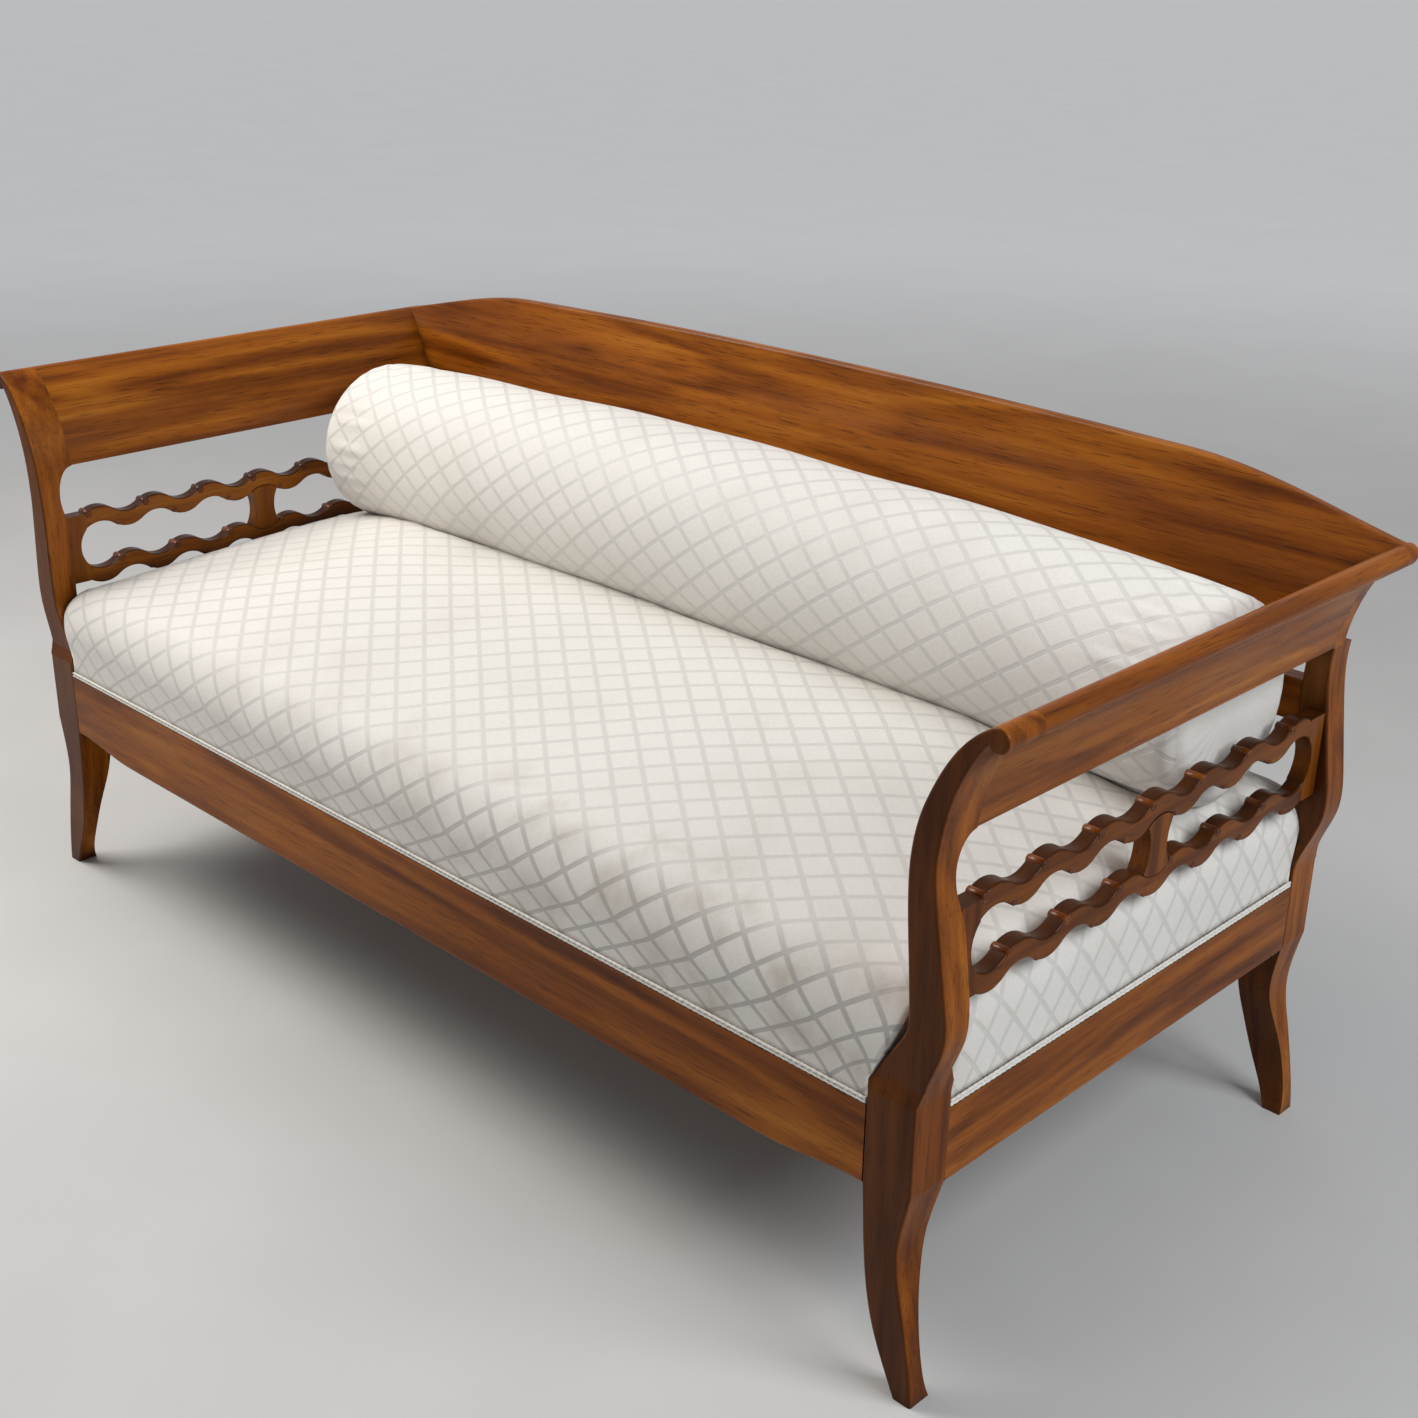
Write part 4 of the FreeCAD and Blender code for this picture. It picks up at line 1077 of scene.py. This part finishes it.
@dataclass
class Bolster:
    """Loose round bolster with plain, gathered ends."""

    rim: float = 0.030
    droop: float = 0.018
    droop_power: float = 2.2
    sink: float = 0.002
    dimple: float = 0.003
    end_drop: float = 0.008
    around: int = 120
    step: float = 0.012
    end_rings: int = 12
    rim_turns: int = 8
    pleats: int = 34
    pleat_depth: float = 0.0018
    pleat_from: float = 0.35
    pleat_drift: float = 0.9
    pleat_mean: float = 0.35
    pleat_swing: float = 0.30
    pleat_phase: float = 0.7
    rim_pleat: float = 0.9
    rim_fade: float = 0.3
    barrel_pleat: float = 0.43
    barrel_fade: float = 0.016
    seam: float = 0.0022
    seam_turn: float = 0.7
    seam_width: float = 0.16
    slack: float = 0.005
    slack_run: float = 0.08
    swell_cap: float = 0.0075
    waves: tuple[Wave, ...] = ((1.7, 0.9, 0.3, 0.0014), (3.1, -2.0, 1.1, 0.0009))
    # The barrel's damask is the seat's made lighter, a lit copy: painted light.
    cloth: DamaskFinish = DamaskFinish("bolster_damask", cell=(0.845, 0.82, 0.775), band=(0.715, 0.70, 0.665))
    end_cloth: DamaskFinish = DamaskFinish("bolster_end_cloth", lattice_shown=0.12)

    def __post_init__(self) -> None:
        """Read the bolster's place from the frame."""
        low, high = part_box("bolster_cover")
        self.centre = (low.x + high.x) / 2
        self.half = (high.x - low.x) / 2
        self.radius = (high.z - low.z) / 2
        self.axis_y = (low.y + high.y) / 2
        self.axis_z = (low.z + high.z) / 2

    def barrel(self, x: float) -> float:
        """Radius along the bolster, without the rounded rims."""
        return self.radius - self.end_drop * (abs(x) / self.half) ** 2

    def build(self) -> bpy.types.Object:
        """Build the closed cover, ring by ring, from one end to the other.

        Returns:
            The bolster piece.
        """
        shoulder = self.half - self.rim
        face = self.barrel(shoulder) - self.rim
        ends: list[Ring] = []
        for share in np.linspace(0.0, 1.0, self.end_rings):
            pleat = max(share - self.pleat_from, 0.0) / (1.0 - self.pleat_from)
            ends.append(Ring(self.half - self.dimple * (1.0 - share ** 2), face * share, pleat, True))
        for turn in np.linspace(0.0, math.pi / 2, self.rim_turns + 1)[1:]:
            reach = self.rim - self.seam * math.exp(-((turn - self.seam_turn) / self.seam_width) ** 2)
            pleat = self.rim_pleat - self.rim_fade * turn
            plain = bool(turn < self.seam_turn)
            ends.append(Ring(shoulder + reach * math.cos(turn), face + reach * math.sin(turn), pleat, plain))
        count = int(round(2 * shoulder / self.step))
        rings = list(ends)
        for x in np.linspace(shoulder, -shoulder, count + 1)[1:-1]:
            pleat = self.barrel_pleat * math.exp(-(shoulder - abs(x)) / self.barrel_fade)
            rings.append(Ring(float(x), self.barrel(x), pleat, False))
        rings += [ring._replace(place=-ring.place) for ring in reversed(ends)]
        return self.skin(rings)

    def folds(self, turns: np.ndarray) -> np.ndarray:
        """Uneven pleats round an end.

        Args:
            turns: Angles round the bolster.

        Returns:
            Depth of the fold at each angle, zero or less.
        """
        wave = np.cos(self.pleats * turns + self.pleat_drift * np.sin(3.0 * turns)) - 1.0
        return wave * (self.pleat_mean + self.pleat_swing * np.cos(2.0 * turns + self.pleat_phase))

    def skin(self, rings: Sequence[Ring]) -> bpy.types.Object:
        """Join the rings into a closed mesh with its cloth map.

        Args:
            rings: Rings from the right end to the left.

        Returns:
            The bolster piece.
        """
        spokes = np.linspace(0.0, 2.0 * math.pi, self.around + 1)
        turns = spokes[:-1]
        fold = self.pleat_depth * self.folds(turns)
        points = [(rings[0].place, self.axis_y, self.axis_z)]
        run = [0.0]
        for ring, following in zip(rings, rings[1:]):
            run.append(run[-1] + math.hypot(following.place - ring.place, following.radius - ring.radius))
        run = [length - run[-1] / 2 for length in run]
        for ring in rings[1:-1]:
            depth = ring.pleat * fold
            ring_x = ring.place + (math.copysign(1.0, ring.place) * depth if ring.plain else 0.0 * depth)
            ring_r = ring.radius + (0.0 * depth if ring.plain else depth)
            ring_y, ring_z = self.axis_y + ring_r * np.sin(turns), self.axis_z - ring_r * np.cos(turns)
            points += list(zip(ring_x, ring_y, ring_z))
        points.append((rings[-1].place, self.axis_y, self.axis_z))
        faces: list[tuple[int, ...]] = []
        corners: list[list[Span]] = []
        plain_faces: list[int] = []
        last = len(rings) - 2
        girth = self.radius * spokes

        def at(ring: int, spoke: int) -> int:
            """Number of the corner on a ring and a spoke."""
            return 1 + (ring - 1) * self.around + spoke % self.around

        for spoke in range(self.around):
            here, there = girth[spoke], girth[spoke + 1]
            faces.append((0, at(1, spoke + 1), at(1, spoke)))
            corners.append([(run[0], here), (run[1], there), (run[1], here)])
            plain_faces.append(1)
            for ring in range(1, last):
                after = ring + 1
                faces.append((at(ring, spoke), at(ring, spoke + 1), at(after, spoke + 1), at(after, spoke)))
                start, end = run[ring], run[after]
                corners.append([(start, here), (start, there), (end, there), (end, here)])
                plain_faces.append(1 if rings[ring].plain and rings[after].plain else 0)
            faces.append((len(points) - 1, at(last, spoke), at(last, spoke + 1)))
            corners.append([(run[-1], here), (run[last], here), (run[last], there)])
            plain_faces.append(1)
        piece = mesh_piece("back_bolster", np.array(points), faces, corners)
        piece.data.materials.append(self.cloth.material())
        piece.data.materials.append(self.end_cloth.material())
        piece.data.polygons.foreach_set("material_index", plain_faces)
        return piece

    def soften(self, piece: bpy.types.Object) -> None:
        """Give the bolster's cloth its unevenness and let it droop over the crowned seat.

        Args:
            piece: Bolster piece.
        """
        points = points_of(piece)
        shoulder = self.half - self.rim
        inside = np.abs(points[:, 0]) < shoulder
        spokes = points[:, 1:] - (self.axis_y, self.axis_z)
        reach = np.linalg.norm(spokes, axis=1, keepdims=True)
        full = np.clip((shoulder - np.abs(points[:, 0])) / self.slack_run, 0.0, 1.0)[:, None]
        sizes = reach[1:-1].reshape(-1, self.around).mean(axis=1)
        points[:, 1:] -= spokes / np.maximum(reach, TINY) * self.slack * full
        set_points(piece, points)
        Swelling(self.swell_cap).apply(piece, ~inside)
        points = self.fill_out(points_of(piece), sizes)
        uneven = ripple(np.column_stack((points[:, 0], 2.0 * points[:, 2])), self.waves)
        points[:, 1:] += (points[:, 1:] - (self.axis_y, self.axis_z)) * (uneven / self.radius)[:, None]
        points[:, 2] -= self.sink + self.droop * (np.abs(points[:, 0]) / self.half) ** self.droop_power
        points[:, 0] += self.centre
        set_points(piece, points)
        # The rings are joined and simulated inside out, so the finished cover is turned to face outward.
        piece.data.flip_normals()

    def fill_out(self, points: np.ndarray, sizes: np.ndarray) -> np.ndarray:
        """Draw every ring out to its full size again.

        Args:
            points: Corner points of the bolster.
            sizes: Mean radius of each ring as it was cut.

        Returns:
            The points, with the unevenness of the simulation and the cut size.
        """
        filled = points.copy()
        spokes = points[1:-1, 1:] - (self.axis_y, self.axis_z)
        reach = np.linalg.norm(spokes, axis=1).reshape(-1, self.around).mean(axis=1)
        filled[1:-1, 1:] += spokes * np.repeat(sizes / reach - 1.0, self.around)[:, None]
        return filled

    def dress(self, piece: bpy.types.Object) -> None:
        """Args:
            piece: Bolster piece.
        """
        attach(piece, Body.BOLSTER.value)
        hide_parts("bolster_cover", "bolster_filling")
        LOG.info("back bolster: %d corners", len(piece.data.vertices))


@dataclass
class SlatCarving:
    """Little carved volutes where the waves of the arm slats begin."""

    pitch: float = 0.050
    wave_rise: float = 0.008
    set_back: float = 0.006
    radius: float = 0.0058
    lower_scale: float = 0.8
    proud: float = 0.0005
    lift: float = -0.0010
    sides: int = 18
    first_seed: int = 60
    eye: tuple[Span, ...] = ((0.0, 0.0), (0.0, 0.30), (0.10, 0.42), (0.10, 0.56), (0.0, 0.68), (0.0, 0.86),
                             (0.12, 1.0))

    def build(self, side: str, slat: str) -> bpy.types.Object:
        """Build all volutes of one slat as one piece.

        Args:
            side: Side of the settee, left or right.
            slat: Slat that carries the volutes, upper or lower.

        Returns:
            The carving.
        """
        low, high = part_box(f"{side}_{slat}_slat")
        level = (low.z + high.z) / 2
        rise = (high.z - low.z) / 2 - self.wave_rise + self.lift
        count = int(round((high.y - low.y) / self.pitch))
        first = 0 if slat == "upper" else 1
        points: list[Triple] = []
        faces: list[tuple[int, ...]] = []
        for number in range(count):
            back = low.y + number * self.pitch + self.set_back
            if number % 2 == first:
                self.volute(points, faces, (low.x, high.x), back, level + rise, 1.0)
            elif number > 0:
                self.volute(points, faces, (low.x, high.x), back, level - rise, self.lower_scale)
        return mesh_piece(f"{side}_{slat}_volutes", np.array(points), faces)

    def volute(self, points: list[Triple], faces: list[tuple[int, ...]], across: Span, back: float,
               level: float, scale: float) -> None:
        """Add one volute that lies across a slat.

        Args:
            points: Corner points, added to.
            faces: Faces, added to.
            across: The slat's two faces.
            back: Place along the slat.
            level: Height of its middle.
            scale: Size beside the full volute.
        """
        radius = self.radius * scale
        near, far = across[0] - self.proud, across[1] + self.proud
        rings = [(near + sunk * radius, share * radius) for sunk, share in self.eye]
        rings += [(far - sunk * radius, share * radius) for sunk, share in reversed(self.eye)]
        first = len(points)
        points.append((rings[0][0], back, level))
        for x, reach in rings[1:-1]:
            for spoke in range(self.sides):
                turn = 2.0 * math.pi * spoke / self.sides
                points.append((x, back + reach * math.cos(turn), level + reach * math.sin(turn)))
        points.append((rings[-1][0], back, level))
        last = len(points) - 1
        for spoke in range(self.sides):
            n = (spoke + 1) % self.sides
            faces.append((first, first + 1 + n, first + 1 + spoke))
            for ring in range(len(rings) - 3):
                start = first + 1 + ring * self.sides
                a, b = start + spoke, start + n
                faces.append((a, b, b + self.sides, a + self.sides))
            tail = last - self.sides
            faces.append((last, tail + spoke, tail + n))

    def dress(self, piece: bpy.types.Object, seed: int) -> None:
        """Args:
            piece: Volutes of one slat.
            seed: Number that gives them their own figure.
        """
        # A darker walnut: painted shade on the volutes.
        dress(piece, ShowWood.carved.material(Grain.ALONG_Y, seed))
        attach(piece, Body.FRAME.value)
        LOG.info("%s: %d corners", piece.name, len(piece.data.vertices))


@dataclass
class EdgeBraid:
    """Double twisted cord that hides the tacks along the seat rails."""

    cord: float = 0.0021
    lay: float = 0.009
    sides: int = 10
    ring_step: float = 0.0022
    bedding: float = 0.8
    room: float = 0.001
    strand_mean: float = 0.86
    strand_swing: float = 0.14

    def build(self) -> bpy.types.Object:
        """Build the cords of all four runs as one piece.

        Returns:
            The braid piece.
        """
        low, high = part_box("seat_braid")
        post_low, post_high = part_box("front_right_post")
        reach_x, reach_y = post_low.x - self.room, -post_high.y - self.room
        inset = self.cord * self.bedding
        levels = [low.z + self.cord, low.z + 3 * self.cord]
        points: list[Triple] = []
        faces: list[tuple[int, ...]] = []
        for way in (-1.0, 1.0):
            for number, level in enumerate(levels):
                lean = 1.0 if number else -1.0
                run = Vector((0.0, way * (high.y - inset), level))
                self.twist(points, faces, run, Vector((reach_x, 0.0, 0.0)), lean)
                run = Vector((way * (high.x - inset), 0.0, level))
                self.twist(points, faces, run, Vector((0.0, reach_y, 0.0)), lean)
        return mesh_piece("edge_braid", np.array(points), faces)

    def twist(self, points: list[Triple], faces: list[tuple[int, ...]], middle: Vector, half: Vector,
              lean: float) -> None:
        """Add one straight cord of two strands.

        Args:
            points: Corner points, added to.
            faces: Faces, added to.
            middle: Middle of the cord.
            half: Half of the cord's run.
            lean: Hand of the twist, 1 or -1.
        """
        along = half.normalized()
        side = along.cross(Vector(UPWARD))
        count = int(2 * half.length / self.ring_step)
        first = len(points)
        for ring in range(count + 1):
            at = middle + half * (2.0 * ring / count - 1.0)
            phase = lean * 2.0 * math.pi * (2.0 * half.length * ring / count) / self.lay
            for spoke in range(self.sides):
                turn = 2.0 * math.pi * spoke / self.sides
                radius = self.cord * (self.strand_mean + self.strand_swing * math.cos(2.0 * turn - phase))
                spot = at + side * (radius * math.cos(turn)) + Vector(UPWARD) * (radius * math.sin(turn))
                points.append(tuple(spot))
        for ring in range(count):
            for spoke in range(self.sides):
                start = first + ring * self.sides
                a, b = start + spoke, start + (spoke + 1) % self.sides
                faces.append((b, a, a + self.sides, b + self.sides))
        faces.append(tuple(first + spoke for spoke in range(self.sides)))
        faces.append(tuple(first + count * self.sides + spoke for spoke in reversed(range(self.sides))))

    def dress(self, piece: bpy.types.Object) -> None:
        """Args:
            piece: Braid piece.
        """
        dress(piece, BraidFinish().material())
        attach(piece, Body.FRAME.value)
        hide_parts("seat_braid")
        LOG.info("edge braid: %d corners", len(piece.data.vertices))


@dataclass(frozen=True)
class Lamp:
    """Soft square lamp that faces the settee."""

    name: str
    place: Triple
    side: float
    power: float
    colour: Colour

    def hang(self, aim: Vector) -> None:
        """Hang the lamp.

        Args:
            aim: Place that it faces.
        """
        data = bpy.data.lights.new(self.name, "AREA")
        data.energy, data.size, data.color = self.power, self.side, self.colour
        lamp = bpy.data.objects.new(self.name, data)
        turned = (aim - Vector(self.place)).to_track_quat("-Z", "Y").to_matrix().to_4x4()
        lamp.matrix_world = Matrix.Translation(self.place) @ turned
        bpy.context.scene.collection.objects.link(lamp)


@dataclass
class Studio:
    """Plain pale floor, soft lamps and the camera of the reference view."""

    azimuth: float = 44.22
    elevation: float = 22.71
    roll: float = 0.94
    stand: Triple = (1.855, -1.717, 1.480)
    focal_pixels: float = 1934.0
    sensor: float = 36.0
    aim: Triple = (0.0, 0.0, 0.45)
    floor_half: float = 60.0
    floor_tones: tuple[Colour, Colour] = ((0.60, 0.595, 0.585), (0.63, 0.625, 0.615))
    floor_roughness: float = 0.7
    floor_gloss: float = 0.2
    glow: Colour = (0.97, 0.98, 1.0)
    floor_glow: float = 0.32
    glow_span: Span = (1.2, 7.0)
    sky: Colour = (0.95, 0.97, 1.0)
    sky_light: float = 0.27
    sky_seen: float = 0.48
    lamps: tuple[Lamp, ...] = (
        Lamp("key_lamp", (-1.7, -1.0, 2.7), 1.7, 77.0, (1.0, 0.965, 0.92)),
        Lamp("side_lamp", (2.7, 0.2, 2.3), 1.4, 50.0, (0.92, 0.96, 1.0)),
    )

    def build_camera(self) -> None:
        """Stand the camera where the reference view was taken."""
        turn, tilt, roll = (math.radians(angle) for angle in (self.azimuth, self.elevation, self.roll))
        back = Vector((math.sin(turn) * math.cos(tilt), -math.cos(turn) * math.cos(tilt), math.sin(tilt)))
        level = (-back).cross(Vector(UPWARD)).normalized()
        upward = level.cross(-back)
        right = level * math.cos(roll) + upward * math.sin(roll)
        up = upward * math.cos(roll) - level * math.sin(roll)
        data = bpy.data.cameras.new("reference_view")
        data.sensor_width = self.sensor
        data.lens = self.focal_pixels / PHOTO_SIDE * self.sensor
        data.clip_end = 4 * self.floor_half
        camera = bpy.data.objects.new("reference_view", data)
        camera.matrix_world = Matrix.Translation(self.stand) @ Matrix((right, up, back)).transposed().to_4x4()
        bpy.context.scene.collection.objects.link(camera)
        bpy.context.scene.camera = camera

    def build_floor(self) -> None:
        """Lay a plain pale floor that stays pale far behind the settee."""
        half = self.floor_half
        points = np.array([(-half, -half, 0.0), (half, -half, 0.0), (half, half, 0.0), (-half, half, 0.0)])
        floor = mesh_piece("studio_floor", points, [(0, 1, 2, 3)])
        bench = NodeBench("pale_floor")
        cloud = bench.noise(bench.place(), scale=2.5, detail=4.0)
        tone = bench.blend(bench.spread(cloud, 0.3, 0.7, 0.0, 1.0), *self.floor_tones)
        bench.join(tone, bench.shader.inputs["Base Color"])
        bench.set(Roughness=self.floor_roughness, Specular_IOR_Level=self.floor_gloss)
        bench.set(Emission_Color=(*self.glow, 1.0))
        away = bench.add("VectorMath", operation="LENGTH")
        bench.join(bench.place(), away.inputs[0])
        far = bench.spread(away.outputs["Value"], *self.glow_span, 0.0, self.floor_glow)
        seen = bench.math("MULTIPLY", self.backdrop_rays(bench.tree), far)
        bench.join(seen, bench.shader.inputs["Emission Strength"])
        dress(floor, bench.material)

    @staticmethod
    def backdrop_rays(tree: bpy.types.NodeTree) -> Socket:
        """Mask of the rays that look at the backdrop, not of those that take its light to the settee.

        Args:
            tree: Node tree that needs the mask.

        Returns:
            One for camera, glossy and transmission rays, otherwise zero.
        """
        path = tree.nodes.new("ShaderNodeLightPath")
        mask = path.outputs["Is Camera Ray"]
        for kind in ("Is Glossy Ray", "Is Transmission Ray"):
            either = tree.nodes.new("ShaderNodeMath")
            either.operation = "MAXIMUM"
            tree.links.new(mask, either.inputs[0])
            tree.links.new(path.outputs[kind], either.inputs[1])
            mask = either.outputs[0]
        return mask

    def build_light(self) -> None:
        """Hang the lamps and set the world's even light."""
        world = bpy.data.worlds.new("studio")
        world.use_nodes = True
        tree = world.node_tree
        sky = tree.nodes["Background"]
        sky.inputs["Color"].default_value = (*self.sky, 1.0)
        level = tree.nodes.new("ShaderNodeMapRange")
        level.inputs["To Min"].default_value = self.sky_light
        level.inputs["To Max"].default_value = self.sky_seen
        tree.links.new(self.backdrop_rays(tree), level.inputs["Value"])
        tree.links.new(level.outputs["Result"], sky.inputs["Strength"])
        bpy.context.scene.world = world
        for lamp in self.lamps:
            lamp.hang(Vector(self.aim))
        bpy.context.scene.view_settings.view_transform = "Standard"

    def build(self) -> None:
        """Set up the camera, the floor and the light."""
        self.build_camera()
        self.build_floor()
        self.build_light()
        LOG.info("studio: %d lamps", len(self.lamps))


def main() -> None:
    """Build the studio and every part of the settee in order."""
    logging.basicConfig(level=logging.INFO, format="%(name)s: %(message)s")
    Studio().build()
    ShowWood().dress()
    HiddenWork().dress()
    bolster = Bolster()
    bolster_piece = bolster.build()
    bolster.soften(bolster_piece)
    bolster.dress(bolster_piece)
    seat = SeatUpholstery()
    seat_piece = seat.build()
    seat.soften(seat_piece, bolster_piece)
    seat.dress(seat_piece)
    braid = EdgeBraid()
    braid.dress(braid.build())
    carving = SlatCarving()
    slats = [(side, slat) for side in ("left", "right") for slat in ("upper", "lower")]
    for number, (side, slat) in enumerate(slats):
        carving.dress(carving.build(side, slat), carving.first_seed + number)


if __name__ == "__main__":
    main()
